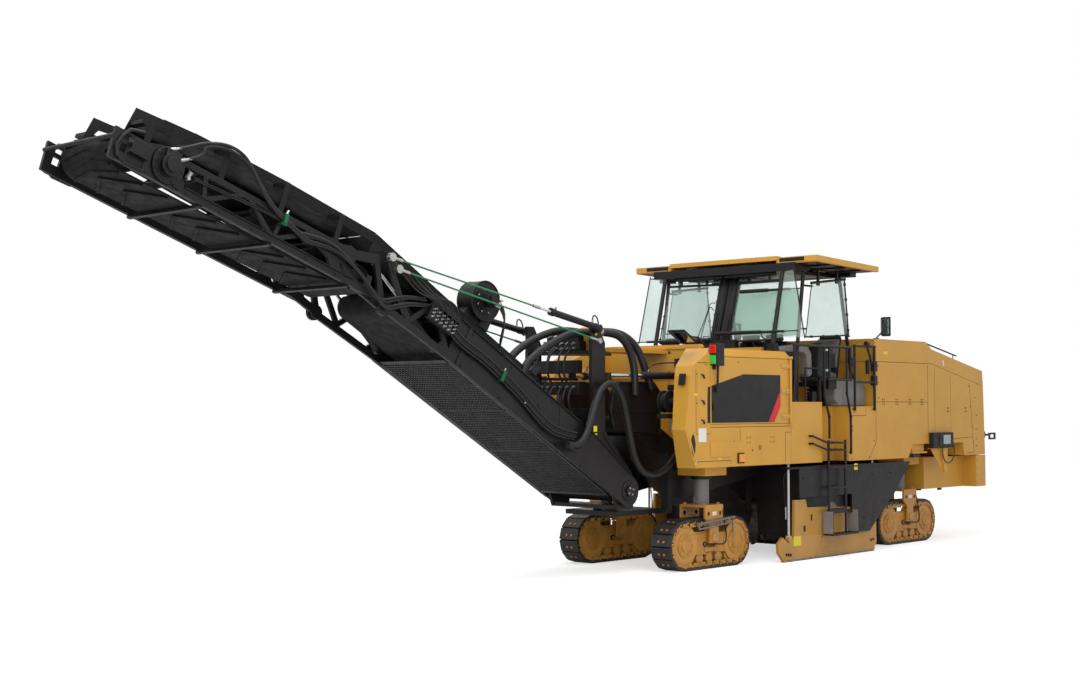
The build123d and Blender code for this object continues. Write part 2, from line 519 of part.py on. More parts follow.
with BuildPart() as conveyor_lower:
    for side_name, side in SIDES:
        side_y = across(side, CONV_IN, CONV_OUT)
        section(on_lower, [(0, -190), (LOWER_PLATE_END, LOWER_LOW - 40), (LOWER_PLATE_END, LOWER_TOP),
                           (900, LOWER_TOP), (0, 190)], side_y)
        pin(on_lower, (0, 0), 190, side_y)
        bar(on_lower, (LOWER_PLATE_END - 20, LOWER_LOW), FOLD_ON_LOWER, 80, side_y)
        bar(on_lower, (LOWER_PLATE_END - 20, LOWER_TOP - 35), (LOWER_LEN + 240, LOWER_TOP - 35), 70, side_y)
        for start, end in ((0, 400), (650, 400), (650, 1200)):
            bar(on_lower, (LOWER_PLATE_END + start, LOWER_LOW + 20), (LOWER_PLATE_END + end, LOWER_TOP - 45), 60, side_y)
        pin(on_lower, FOLD_ON_LOWER, 90, side_y)
        pin(on_lower, (0, 0), HUB_R + RUN_GAP, across(side, CONV_IN - 1, CONV_OUT + 1), Mode.SUBTRACT)
        pin(on_lower, FOLD_ON_LOWER, FOLD_PIN_R + RUN_GAP, across(side, CONV_IN - 1, CONV_OUT + 1), Mode.SUBTRACT)
        pin(on_lower, FOLD_FOOT, 70, side_y)
        pin(on_lower, FOLD_FOOT, SHAFT_R, across(side, FOLD_CYL_Y - 30, CONV_IN + 1))
        section(on_lower, [(3820, 15), (3880, 80), (LOWER_HEAD[0], 45), (LOWER_HEAD[0] + 45, 0),
                           (LOWER_HEAD[0], -45), (LOWER_HEAD[0] - 50, -40)], across(side, BELT_HALF + 4, BELT_HALF + 16))
    for u in (1150, 1900, 2650, 3400):
        pin(on_lower, (u, BELT_R - BELT_THICK - SEAT_GAP - IDLER_R), IDLER_R, (-DRUM_END, DRUM_END))
        pin(on_lower, (u, BELT_R - BELT_THICK - SEAT_GAP - IDLER_R), 15, (-CONV_IN - 5, CONV_IN + 5))
    pin(on_lower, (3850, 50), SHAFT_R, (-CONV_IN - 5, CONV_IN + 5))
    for drum, shaft_r, reach in ((LOWER_TAIL, TAIL_SHAFT_R, MAST_OUT - 2), (LOWER_HEAD, SHAFT_R, BELT_HALF + 15)):
        pin(on_lower, drum[:2], BELT_R - BELT_THICK - SEAT_GAP, (-DRUM_END, DRUM_END))
        pin(on_lower, drum[:2], shaft_r, (-reach, reach))
finish(conveyor_lower, "conveyor_lower")

with BuildPart() as lower_guard:
    section(on_lower, [(260, -205), (LOWER_PLATE_END - 60, -205), (LOWER_PLATE_END - 60, -196), (260, -196)],
            (-CONV_IN + SEAT_GAP, CONV_IN - SEAT_GAP))
finish(lower_guard, "lower_guard")

with BuildPart() as belt_lower:
    belt_loop(on_lower, LOWER_TAIL, LOWER_HEAD)
finish(belt_lower, "belt_lower")

# Covers: sheet channels over the belt, as (u, v) of the roof line
COVER_HALF = 365.0
SHEET = 6.0
LOWER_ROOF = [(1900, 487), (3644, 487), (4826, 516)]
with BuildPart() as cover_lower:
    section(on_lower, LOWER_ROOF + [(u, v - SHEET) for u, v in reversed(LOWER_ROOF)], (-COVER_HALF, COVER_HALF))
    for side_name, side in SIDES:
        section(on_lower, LOWER_ROOF + [(4826, LOWER_TOP + SEAT_GAP), (1900, LOWER_TOP + SEAT_GAP)],
                across(side, COVER_HALF - SHEET, COVER_HALF))
        section(on_lower, [(1900, LOWER_TOP + SEAT_GAP), (4826, LOWER_TOP + SEAT_GAP),
                           (4826, LOWER_TOP + SEAT_GAP + SHEET), (1900, LOWER_TOP + SEAT_GAP + SHEET)],
                across(side, COVER_HALF - SHEET, CONV_OUT))
finish(cover_lower, "cover_lower")

# Dust suction fan on the lower cover
FAN = (3133.0, 766.0)
FAN_R = 230.0
FAN_Y = (-420.0, -200.0)
with BuildPart() as dust_fan:
    pin(on_lower, FAN, FAN_R, FAN_Y)
    pin(on_lower, FAN, 70, (FAN_Y[0] - 100, FAN_Y[0] + 1))
    pin(on_lower, FAN, 120, (FAN_Y[0] - 20, FAN_Y[0] + 1))
    section(on_lower, [(FAN[0] - 190, LOWER_ROOF[0][1] + SEAT_GAP), (FAN[0] + 190, LOWER_ROOF[0][1] + SEAT_GAP),
                       (FAN[0] + 130, FAN[1] - 120), (FAN[0] - 130, FAN[1] - 120)], (-COVER_HALF, FAN_Y[1]))
    section(on_lower, [(FAN[0] - FAN_R, FAN[1]), (FAN[0] - FAN_R, FAN[1] - 270), (FAN[0] - 80, FAN[1] - 270),
                       (FAN[0] - 80, FAN[1])], (FAN_Y[0] + 40, FAN_Y[1] - 40))
finish(dust_fan, "dust_fan")

# Loading conveyor, upper section
UPPER_LOW = -25.0       # middle of the bottom chord
CHORD = 85.0
UPPER_TOP = ((650.0, 268.0), (2700.0, 235.0))   # ends of the top chord's middle line
HEAD_PLATE = [(2650, -65), (3460, -65), (3480, 225), (3130, 228), (2990, 278), (2860, 278), (2650, 60)]
UPPER_TAIL, UPPER_HEAD = (230, 120, 145.0), (3195, 120, 190.0)
INNER_OUT = CONV_IN - MOVE_GAP
INNER_IN = INNER_OUT - 40.0
with BuildPart() as conveyor_upper:
    for side_name, side in SIDES:
        side_y = across(side, CONV_IN, CONV_OUT)
        inner_y = across(side, INNER_IN, INNER_OUT)
        joint_y = across(side, INNER_IN, CONV_OUT)
        bar(on_upper, (140, UPPER_LOW), (3420, UPPER_LOW), CHORD, side_y)
        bar(on_upper, UPPER_TOP[0], UPPER_TOP[1], 60, side_y)
        for start, end in (((2400, 0), (2460, 235)), ((2400, 0), (2010, 235)), ((1540, -10), (1930, 240)),
                           ((1540, -10), (1500, 245)), ((1540, -10), (1090, 240))):
            bar(on_upper, start, end, 45, side_y)
        section(on_upper, [(1227, 200), (1100, 270), (992, 270), (835, 205), (641, 145), (460, 85), (407, 30),
                           (330, -20), (651, -60), (761, -11), (854, 100), (1044, 153)], side_y)
        section(on_upper, [(700, 100), (655, 105), (545, 0), (590, -10)], across(side, CONV_IN - 1, CONV_OUT + 1),
                Mode.SUBTRACT)
        section(on_upper, HEAD_PLATE, side_y)
        for low, high in ((30, 110), (150, 205)):
            section(on_upper, [(3300, low), (3380, low), (3380, high), (3300, high)],
                    across(side, CONV_IN - 1, CONV_OUT + 1), Mode.SUBTRACT)
        bar(on_upper, FOLD_ON_UPPER, FOLD_EYE, 70, inner_y)
        bar(on_upper, FOLD_EYE, (560, 262), 100, inner_y)
        bar(on_upper, FOLD_ON_UPPER, (300, UPPER_LOW), 90, inner_y)
        section(on_upper, [(180, -66), (420, -66), (420, 15), (180, 15)], joint_y)
        section(on_upper, [(500, 190), (560, 180), (700, 240), (700, 296), (600, 330), (500, 310)], joint_y)
        pin(on_upper, FOLD_EYE, 55, inner_y)
        pin(on_upper, FOLD_ON_UPPER, 75, inner_y)
        pin(on_upper, FOLD_ON_UPPER, FOLD_PIN_R, across(side, INNER_IN, CONV_OUT + 15))
    for u in (950, 1700, 2450):
        roll = UPPER_TAIL[2] + (UPPER_HEAD[2] - UPPER_TAIL[2]) * (u - UPPER_TAIL[0]) / (UPPER_HEAD[0] - UPPER_TAIL[0])
        roll_v = UPPER_TAIL[1] + roll - BELT_THICK - 1.2 * SEAT_GAP - IDLER_R
        pin(on_upper, (u, roll_v), IDLER_R, (-DRUM_END, DRUM_END))
        pin(on_upper, (u, roll_v), 15, (-CONV_IN + 10, CONV_IN - 10))
        section(on_upper, [(u - 30, roll_v - 20), (u + 30, roll_v - 20), (u + 30, 260), (u - 30, 260)],
                (-CONV_IN - 3, -CONV_IN + 11))
        section(on_upper, [(u - 30, roll_v - 20), (u + 30, roll_v - 20), (u + 30, 260), (u - 30, 260)],
                (CONV_IN - 11, CONV_IN + 3))
    for u in (500, 1540, 2400):
        section(on_upper, [(u, -98), (u + 40, -98), (u + 40, -64), (u, -64)], (-CONV_OUT, CONV_OUT))
    for drum, reach in ((UPPER_TAIL, INNER_IN + 5), (UPPER_HEAD, CONV_IN + 5)):
        pin(on_upper, drum[:2], drum[2] - BELT_THICK - SEAT_GAP, (-DRUM_END, DRUM_END))
        pin(on_upper, drum[:2], SHAFT_R, (-reach, reach))
    for side_name, side in SIDES:
        section(on_upper, [(190, -60), (300, -60), (265, 155), (195, 155)], across(side, INNER_IN, INNER_OUT))
    pin(on_upper, (3470, 136), 22, (-CONV_OUT, CONV_OUT))
finish(conveyor_upper, "conveyor_upper")

with BuildPart() as belt_upper:
    belt_loop(on_upper, UPPER_TAIL, UPPER_HEAD)
finish(belt_upper, "belt_upper")

UPPER_ROOF = [(157, 684), (1442, 681), (2510, 641), (2920, 601)]
UPPER_WALL = UPPER_ROOF[:3] + [(3228, 571), (3270, 334), (3214, 334), (3139, 476), (2920, 520), (2480, 562),
                               (1838, 598), (174, 587)]
with BuildPart() as cover_upper:
    section(on_upper, UPPER_ROOF + [(u, v - SHEET) for u, v in reversed(UPPER_ROOF)], (-COVER_HALF, COVER_HALF))
    for side_name, side in SIDES:
        section(on_upper, UPPER_WALL, across(side, COVER_HALF - SHEET, COVER_HALF))
        for u, foot_v in ((760, 297), (1500, 285), (2250, 273)):
            section(on_upper, [(u, 560), (u + 60, 560), (u + 60, 600), (u, 600)], across(side, COVER_HALF - 1, CONV_IN + 12))
            section(on_upper, [(u, foot_v), (u + 60, foot_v), (u + 60, 600), (u, 600)],
                    across(side, CONV_IN, CONV_IN + 12))
        section(on_upper, [(3100, 242), (3160, 242), (3160, 420), (3100, 420)], across(side, CONV_IN, CONV_IN + 12))
        section(on_upper, [(3180, 380), (3240, 380), (3240, 420), (3100, 420)], across(side, COVER_HALF - 1, CONV_IN + 12))
finish(cover_upper, "cover_upper")

# Stays: cylinder and rope each side, from the mast's head to the knee
STAY_EYE = (-4350.0, 3620.0)
HOLD_PIN = (-990.0, 2850.0)
HOLD_EYE = (-4250.0, 3500.0)
STAY_Y = CONV_OUT + 25.0
BARREL_LEN = 900.0
STAY_ROD_R = 16.0
STAY_WAY = Vector(STAY_EYE[0] - MAST_PIN[0], 0, STAY_EYE[1] - MAST_PIN[1]).normalized()
with BuildPart() as lift_barrels:
    for side_name, side in SIDES:
        foot = Vector(MAST_PIN[0], side * STAY_Y, MAST_PIN[1])
        rod((foot + STAY_WAY * 40), (foot + STAY_WAY * BARREL_LEN), 40)
        rod((foot + STAY_WAY * 90), (foot + STAY_WAY * (BARREL_LEN - GLAND)), STAY_ROD_R + 4, Mode.SUBTRACT)
        rod((foot + STAY_WAY * 90), (foot + STAY_WAY * (BARREL_LEN + 1)), STAY_ROD_R + RUN_GAP, Mode.SUBTRACT)
        rod((MAST_PIN[0], side * (STAY_Y - 16), MAST_PIN[1]), (MAST_PIN[0], side * (STAY_Y + 16), MAST_PIN[1]), 46)
        rod((MAST_PIN[0], side * (STAY_Y - 30), MAST_PIN[1]), (MAST_PIN[0], side * (STAY_Y + 30), MAST_PIN[1]),
            MAST_PIN_R + RUN_GAP, Mode.SUBTRACT)
finish(lift_barrels, "lift_barrels")
with BuildPart() as lift_stays:
    for side_name, side in SIDES:
        foot = Vector(MAST_PIN[0], side * STAY_Y, MAST_PIN[1])
        tip = Vector(STAY_EYE[0], side * STAY_Y, STAY_EYE[1])
        rod((foot + STAY_WAY * 300), (foot + STAY_WAY * 1100), STAY_ROD_R)
        rod((foot + STAY_WAY * 1090), tip, 10)
        rod((HOLD_PIN[0], side * STAY_Y, HOLD_PIN[1]), (HOLD_EYE[0], side * STAY_Y, HOLD_EYE[1]), 10)
        for x, z in (STAY_EYE, HOLD_EYE):
            rod((x, side * (CONV_OUT + 6), z), (x, side * (STAY_Y + 22), z), 42)
        rod((HOLD_PIN[0], side * (STAY_Y - 15), HOLD_PIN[1]), (HOLD_PIN[0], side * (STAY_Y + 15), HOLD_PIN[1]), 32)
        outline([(HOLD_EYE[0] + 14, HOLD_EYE[1] - 14), (HOLD_EYE[0] - 14, HOLD_EYE[1] + 14),
                 (STAY_EYE[0] - 14, STAY_EYE[1] + 14), (STAY_EYE[0] + 14, STAY_EYE[1] - 14)],
                across(side, STAY_Y + 8, STAY_Y + 20))
finish(lift_stays, "lift_stays")

# Fold cylinders inside the knee, from the lower section's foot pin to the upper section's top pin
FOLD_START, FOLD_STOP = on_lower(*FOLD_FOOT), on_upper(*FOLD_EYE)
FOLD_WAY = Vector(FOLD_STOP[0] - FOLD_START[0], 0, FOLD_STOP[1] - FOLD_START[1]).normalized()
FOLD_BARREL = 660.0
FOLD_ROD_R = 18.0
with BuildPart() as fold_barrels:
    for side_name, side in SIDES:
        foot = Vector(FOLD_START[0], side * FOLD_CYL_Y, FOLD_START[1])
        eye_y = across(side, FOLD_CYL_Y - 26, FOLD_CYL_Y + 26)
        rod(foot, (foot + FOLD_WAY * FOLD_BARREL), FOLD_CYL_R)
        pin(on_lower, FOLD_FOOT, 50, eye_y)
        rod((foot + FOLD_WAY * 80), (foot + FOLD_WAY * (FOLD_BARREL - GLAND)), FOLD_ROD_R + 4, Mode.SUBTRACT)
        rod((foot + FOLD_WAY * 80), (foot + FOLD_WAY * (FOLD_BARREL + 1)), FOLD_ROD_R + RUN_GAP, Mode.SUBTRACT)
        pin(on_lower, FOLD_FOOT, SHAFT_R + RUN_GAP, across(side, FOLD_CYL_Y - 40, FOLD_CYL_Y + 40), Mode.SUBTRACT)
finish(fold_barrels, "fold_barrels")
with BuildPart() as fold_rods:
    for side_name, side in SIDES:
        foot = Vector(FOLD_START[0], side * FOLD_CYL_Y, FOLD_START[1])
        tip = Vector(FOLD_STOP[0], side * FOLD_CYL_Y, FOLD_STOP[1])
        rod((foot + FOLD_WAY * 120), tip, FOLD_ROD_R)
        pin(on_upper, FOLD_EYE, 34, across(side, FOLD_CYL_Y - 20, INNER_IN - MOVE_GAP))
finish(fold_rods, "fold_rods")

# Primary conveyor: from the drum box up between the front tracks to the mast
PRIME_LOW = (2420.0, 528.0)
PRIME_HIGH = (0.0, 1850.0)
PRIME_BELT_R = 120.0
PRIME_WAY = Vector(PRIME_HIGH[0] - PRIME_LOW[0], 0, PRIME_HIGH[1] - PRIME_LOW[1])
PRIME_LEN = PRIME_WAY.length
PRIME_U = PRIME_WAY.normalized()


def on_prime(u, v):
    """(x, z) of a point on the primary conveyor, measured from its tail drum."""
    return PRIME_LOW[0] + u * PRIME_U.X + v * PRIME_U.Z, PRIME_LOW[1] + u * PRIME_U.Z - v * PRIME_U.X


PRIME_ENDS = (60.0, PRIME_LEN - 60.0)
with BuildPart() as primary_conveyor:
    for side_name, side in SIDES:
        section(on_prime, [(-60, -150), (PRIME_LEN + 60, -150), (PRIME_LEN + 60, 170), (-60, 170)],
                across(side, PRIME_HALF - 24, PRIME_HALF))
    section(on_prime, [(60, -156), (PRIME_LEN - 60, -156), (PRIME_LEN - 60, -148), (60, -148)],
            (-PRIME_HALF, PRIME_HALF))
    for u in PRIME_ENDS:
        pin(on_prime, (u, 0), PRIME_BELT_R - BELT_THICK - SEAT_GAP, (-PRIME_HALF + 40, PRIME_HALF - 40))
        pin(on_prime, (u, 0), SHAFT_R, (-PRIME_HALF + 10, PRIME_HALF - 10))
finish(primary_conveyor, "primary_conveyor")
with BuildPart() as belt_primary:
    for radius, mode in ((PRIME_BELT_R, Mode.ADD), (PRIME_BELT_R - BELT_THICK, Mode.SUBTRACT)):
        with BuildSketch(Plane.XZ.offset(PRIME_HALF - 34)) as shape:
            with BuildLine():
                for u in PRIME_ENDS:
                    CenterArc(on_prime(u, 0), radius, 0, 360)
            make_hull()
        extrude(shape.sketch, amount=-2 * (PRIME_HALF - 34), mode=mode)
finish(belt_primary, "belt_primary")

# Skirts either side of the primary conveyor's head, which guide the milled material over to the mast
HOOD_SIDE = [(-500, 1780), (-560, 2000), (-520, 2250), (-400, 2370), (300, 2370), (430, 2250), (430, 1700)]
with BuildPart() as transfer_skirts:
    for side_name, side in SIDES:
        outline(HOOD_SIDE, across(side, PRIME_HALF + SEAT_GAP, PRIME_HALF + 30))
finish(transfer_skirts, "transfer_skirts")

# Operator's platform
PLATFORM_X = (2200.0, 4350.0)
LADDER_X = (2960.0, 3640.0)
LADDER_IN = 1000.0
TUB_FRONT = 3700.0
DECK_HALF = BODY_HALF - PANEL - SEAT_GAP
SIDE_BOX_TOP = DECK_TOP + 60.0
BULKHEAD_REAR = PLATFORM_X[0] + 60
with BuildPart() as platform:
    block((PLATFORM_X[0], TUB_FRONT - 10), (-BODY_HALF + 20, BODY_HALF - 20), (DECK_TOP - DECK_THICK, DECK_TOP))
    block(PLATFORM_X, (-DECK_HALF, DECK_HALF), (DECK_TOP - DECK_THICK, DECK_TOP))
    for side_name, side in SIDES:
        block((PLATFORM_X[0], LADDER_X[0]), across(side, 900, BODY_HALF), (BODY_BOTTOM, 1960))
        block((PLATFORM_X[0], LADDER_X[0]), across(side, BODY_HALF - 90, BODY_HALF), (1950, SIDE_BOX_TOP))
        block(LADDER_X, across(side, LADDER_IN, BODY_HALF + 1), (DECK_TOP - DECK_THICK - 1, DECK_TOP + 1),
              Mode.SUBTRACT)
        block((LADDER_X[0] - 10, LADDER_X[1] + 10), across(side, 900, LADDER_IN), (BODY_BOTTOM, DECK_TOP - 10))
        block((LADDER_X[1], TUB_FRONT - SEAT_GAP), across(side, 900, BODY_HALF), (BODY_BOTTOM, DECK_TOP - 10))
        rod((LIFT_ROD_X[0], side * LIFT_ROD_Y, BODY_BOTTOM - 1), (LIFT_ROD_X[0], side * LIFT_ROD_Y, 1760),
            LIFT_ROD_R + MOVE_GAP, Mode.SUBTRACT)
    block((PLATFORM_X[0] - 1, BULKHEAD_REAR + SEAT_GAP), (-SLOT_HALF - SEAT_GAP, SLOT_HALF + SEAT_GAP),
          (DECK_TOP - DECK_THICK - 1, DECK_TOP + 1), Mode.SUBTRACT)
finish(platform, "platform")

with BuildPart() as bulkhead:
    block((PLATFORM_X[0], BULKHEAD_REAR), (-SLOT_HALF, SLOT_HALF), (1400, 2860))
finish(bulkhead, "bulkhead")

with BuildPart() as console:
    for side_name, side in SIDES:
        block((2330, 2640), across(side, 250, 1080), (DECK_TOP + SEAT_GAP, 2700))
        outline([(2330, 2690), (2700, 2690), (2640, 2900), (2420, 2940)], across(side, 300, 1050))
finish(console, "console")

with BuildPart() as seats:
    for side_name, side in SIDES:
        block((3620, 3900), across(side, 500, 860), (DECK_TOP + SEAT_GAP, DECK_TOP + 340))
        block((3520, 4000), across(side, 440, 920), (DECK_TOP + 330, DECK_TOP + 480))
        outline([(3930, 2530), (4010, 2530), (4120, 3080), (4040, 3080)], across(side, 460, 900))
finish(seats, "seats")

# Rear body: tub round the engine, with the hood as its lid
HOOD_FRONT = 4360.0
SEAM = [(HOOD_FRONT, 2700.0), (6030.0, 2700.0), (7700.0, 2375.0)]
REAR_END = 7750.0
REAR_FOOT_X = REAR_END - 5
ARCH_TOP = 1500.0
HOOD_TOP = 3030.0
HOOD_PIN = (HOOD_FRONT - 29.0, HOOD_TOP + 20.0)
HOOD_PIN_R = 14.0
HOOD_ARM = (600.0, 640.0)       # |y| of the arms that carry the hood's hinge
with BuildPart() as rear_body:
    outline([(TUB_FRONT, BODY_BOTTOM), (5300, BODY_BOTTOM), (5440, ARCH_TOP), (7000, ARCH_TOP), (7060, BODY_BOTTOM),
             (REAR_FOOT_X, BODY_BOTTOM), SEAM[2], SEAM[1], SEAM[0], (HOOD_FRONT, DECK_TOP), (TUB_FRONT, DECK_TOP)],
            (-BODY_HALF, BODY_HALF))
    outline([(TUB_FRONT + PANEL, BODY_BOTTOM + PANEL), (5280, BODY_BOTTOM + PANEL), (5420, ARCH_TOP + PANEL),
             (7030, ARCH_TOP + PANEL), (7090, BODY_BOTTOM + PANEL), (REAR_FOOT_X - PANEL - 4, BODY_BOTTOM + PANEL),
             (SEAM[2][0] - PANEL, SEAM[2][1] + 60), (SEAM[1][0], SEAM[1][1] + 60), (HOOD_FRONT + PANEL, SEAM[0][1] + 60),
             (HOOD_FRONT + PANEL, DECK_TOP - PANEL), (TUB_FRONT + PANEL, DECK_TOP - PANEL)],
            (-BODY_HALF + PANEL, BODY_HALF - PANEL), Mode.SUBTRACT)
    for side_name, side in SIDES:
        rod((REAR_AXLE_X, side * TRACK_GAUGE_HALF, BODY_BOTTOM - 1),
            (REAR_AXLE_X, side * TRACK_GAUGE_HALF, 1600), SLEEVE_R + SEAT_GAP, Mode.SUBTRACT)
        rod((LIFT_ROD_X[1], side * LIFT_ROD_Y, BODY_BOTTOM - 1), (LIFT_ROD_X[1], side * LIFT_ROD_Y, 1400),
            LIFT_ROD_R + MOVE_GAP, Mode.SUBTRACT)
        rod(((MOLD_X[0] + MOLD_X[1]) / 2, side * MOLD_ROD_Y, BODY_BOTTOM - 1),
            ((MOLD_X[0] + MOLD_X[1]) / 2, side * MOLD_ROD_Y, 1400), MOLD_ROD_R + MOVE_GAP, Mode.SUBTRACT)
    block((TUB_FRONT - 1, HOOD_FRONT + PANEL + 1), (-BODY_HALF + PANEL, BODY_HALF - PANEL),
          (DECK_TOP - DECK_THICK - 1, DECK_TOP + SEAT_GAP), Mode.SUBTRACT)
    for side_name, side in SIDES:
        outline([(HOOD_PIN[0] - 21, 2400), (HOOD_FRONT + 2, 2400), (HOOD_FRONT + 2, SEAM[0][1] - 4),
                 (HOOD_FRONT - 8, SEAM[0][1] + 4), (HOOD_FRONT - 8, HOOD_PIN[1] + 30),
                 (HOOD_PIN[0] - 21, HOOD_PIN[1] + 30)], across(side, *HOOD_ARM))
        rod((HOOD_PIN[0], side * HOOD_ARM[0], HOOD_PIN[1]), (HOOD_PIN[0], side * (HOOD_ARM[1] + 56), HOOD_PIN[1]),
            HOOD_PIN_R)
finish(rear_body, "rear_body")

with BuildPart() as hood:
    outline([(HOOD_FRONT, SEAM[0][1] + MOVE_GAP), (SEAM[1][0], SEAM[1][1] + MOVE_GAP),
             (SEAM[2][0], SEAM[2][1] + MOVE_GAP), (SEAM[2][0] - 25, 2620), (6040, 2920), (5850, HOOD_TOP),
             (HOOD_FRONT, HOOD_TOP)], (-BODY_HALF, BODY_HALF))
    outline([(HOOD_FRONT + PANEL, SEAM[0][1] - 10), (SEAM[1][0], SEAM[1][1] - 10), (SEAM[2][0], SEAM[2][1] - 60),
             (SEAM[2][0] - 65, 2590), (6030, 2880), (5840, HOOD_TOP - PANEL),
             (HOOD_FRONT + PANEL, HOOD_TOP - PANEL)], (-BODY_HALF + PANEL, BODY_HALF - PANEL), Mode.SUBTRACT)
    for side_name, side in SIDES:
        lug_y = across(side, HOOD_ARM[1] + MOVE_GAP, HOOD_ARM[1] + 50)
        outline([(HOOD_PIN[0] - 26, HOOD_PIN[1] - 10), (HOOD_FRONT + 20, HOOD_TOP - 60), (HOOD_FRONT + 60, HOOD_TOP - 5),
                 (HOOD_PIN[0] + 6, HOOD_PIN[1] + 28), (HOOD_PIN[0] - 26, HOOD_PIN[1] + 22)], lug_y)
        rod((HOOD_PIN[0], side * HOOD_ARM[1], HOOD_PIN[1]), (HOOD_PIN[0], side * (HOOD_ARM[1] + 60), HOOD_PIN[1]),
            HOOD_PIN_R + RUN_GAP, Mode.SUBTRACT)
finish(hood, "hood")

with BuildPart() as engine_block:
    block((4900, 6700), (-420, 420), (ARCH_TOP + PANEL + SEAT_GAP, 2350))
finish(engine_block, "engine_block")

with BuildPart() as rear_box:
    block((6180, 7450), (-1020, 1020), (800, 1280))
    block((7440, REAR_END), (-BODY_HALF, BODY_HALF), (800, BODY_BOTTOM - 10))
    for side_name, side in SIDES:
        block((6100, RAIL_REAR + 20), across(side, RAIL_IN - 1, RAIL_OUT + 1), (RAIL_LOW - 1, RAIL_HIGH + 1),
              Mode.SUBTRACT)
        block((CROSS[3][0] - 10, CROSS[3][1] + 10), across(side, RAIL_IN - 1, RAIL_OUT + 1), (780, RAIL_LOW),
              Mode.SUBTRACT)
    block((CROSS[3][0] - 10, CROSS[3][1] + 10), (-RAIL_OUT - 1, RAIL_OUT + 1), (RAIL_LOW - 1, RAIL_HIGH + 1),
          Mode.SUBTRACT)
    for side_name, side in SIDES:
        block((6300, 6500), across(side, RAIL_OUT + SEAT_GAP, RAIL_OUT + 5), (RAIL_LOW, RAIL_HIGH))
finish(rear_box, "rear_box")

# Marker brackets that reach back from the rear corners, seated on the leaning rear wall
REAR_LEAN = (REAR_FOOT_X - SEAM[2][0]) / (SEAM[2][1] - BODY_BOTTOM)
with BuildPart() as rear_hooks:
    for side_name, side in SIDES:
        bracket_y = across(side, BODY_HALF - 14, BODY_HALF)
        block((REAR_FOOT_X + 6, 7900), bracket_y, (1590, 1625))
        outline([(REAR_FOOT_X + SEAT_GAP - (z - BODY_BOTTOM) * REAR_LEAN, z) for z in (1560, 1660)]
                + [(REAR_FOOT_X + 12, 1660), (REAR_FOOT_X + 12, 1560)], across(side, BODY_HALF - 70, BODY_HALF))
        block((7890, 8120), bracket_y, (1530, 1640))
        block((7940, 8070), across(side, BODY_HALF - 15, BODY_HALF + 1), (1560, 1610), Mode.SUBTRACT)
finish(rear_hooks, "rear_hooks")

# Canopy
ROOF_SLOPE = 50 / 1600


def roof_under(x):
    """Height of the roof wings' underside."""
    return 4000 - (x - 2400) * ROOF_SLOPE


SCREEN_IN = 1176.0 + SEAT_GAP
BEAM_LOW = 3890.0
with BuildPart() as canopy_columns:
    for side_name, side in SIDES:
        column_y = across(side, 20, 147)
        outline([(2283, 2900), (2373, 2900), (2684, 3905), (2594, 3905)], column_y)
        block((PLATFORM_X[0] + 5, 2400), column_y, (2860 + SEAT_GAP, 2905))
    block((2500, 2700), (-200, 200), (BEAM_LOW - SEAT_GAP, 3910), Mode.SUBTRACT)
finish(canopy_columns, "canopy_columns")
with BuildPart() as canopy_posts:
    for side_name, side in SIDES:
        rod((2155, side * 1000, 2900), (2409, side * 1000, 3930), 30)
        block((2100, 2190), across(side, 940, 1060), (FRONT_TOP + SEAT_GAP, 2905))
        rod((2400, side * 1150, 2145), (2682, side * 1150, 3930), 26)
        block((2355, 2445), across(side, 1115, 1190), (SIDE_BOX_TOP + SEAT_GAP, SIDE_BOX_TOP + 35))
        rod((4300, side * 960, 2080), (3893, side * 960, 3930), 26)
        block((4250, 4345), across(side, 920, 1000), (DECK_TOP + SEAT_GAP, DECK_TOP + 30))
        block((2550, 2700), across(side, 1150, SCREEN_IN - SEAT_GAP), (3100, 3125))
        block((2640, 2880), across(side, 1150, SCREEN_IN - SEAT_GAP), (3690, 3715))
    block((2300, 4000), (-1300, 1300), (BEAM_LOW - SEAT_GAP, 3990), Mode.SUBTRACT)
finish(canopy_posts, "canopy_posts")
with BuildPart() as canopy_frame:
    for side_name, side in SIDES:
        block((2690, 3810), across(side, 850, 900), (BEAM_LOW, 3930))
    for front, rear in ((2380, 2700), (3800, 3960)):
        outline([(front, BEAM_LOW), (rear, BEAM_LOW), (rear, roof_under(rear) - SEAT_GAP),
                 (front, roof_under(front) - SEAT_GAP)], (-1200, 1200))
finish(canopy_frame, "canopy_frame")
with BuildPart() as canopy_roof:
    outline([(2380, 4040), (4020, 3985), (4020, 4045), (2380, 4100)], (-910, 910))
    for side_name, side in SIDES:
        outline([(2400, roof_under(2400)), (4000, roof_under(4000)), (4000, 4020), (2400, 4078)], across(side, 900, 1540))
finish(canopy_roof, "canopy_roof")
GLASS = 8.0
with BuildPart() as screens:
    for side_name, side in SIDES:
        outline([(2660, 3000), (3760, 3060), (3660, 3840), (2820, 3740)], across(side, SCREEN_IN, SCREEN_IN + GLASS))
        pane([(2340, side * 150, 2960), (2200, side * 950, 2960), (2453, side * 950, 3830),
              (2610, side * 150, 3830)], side * GLASS)
finish(screens, "screens")

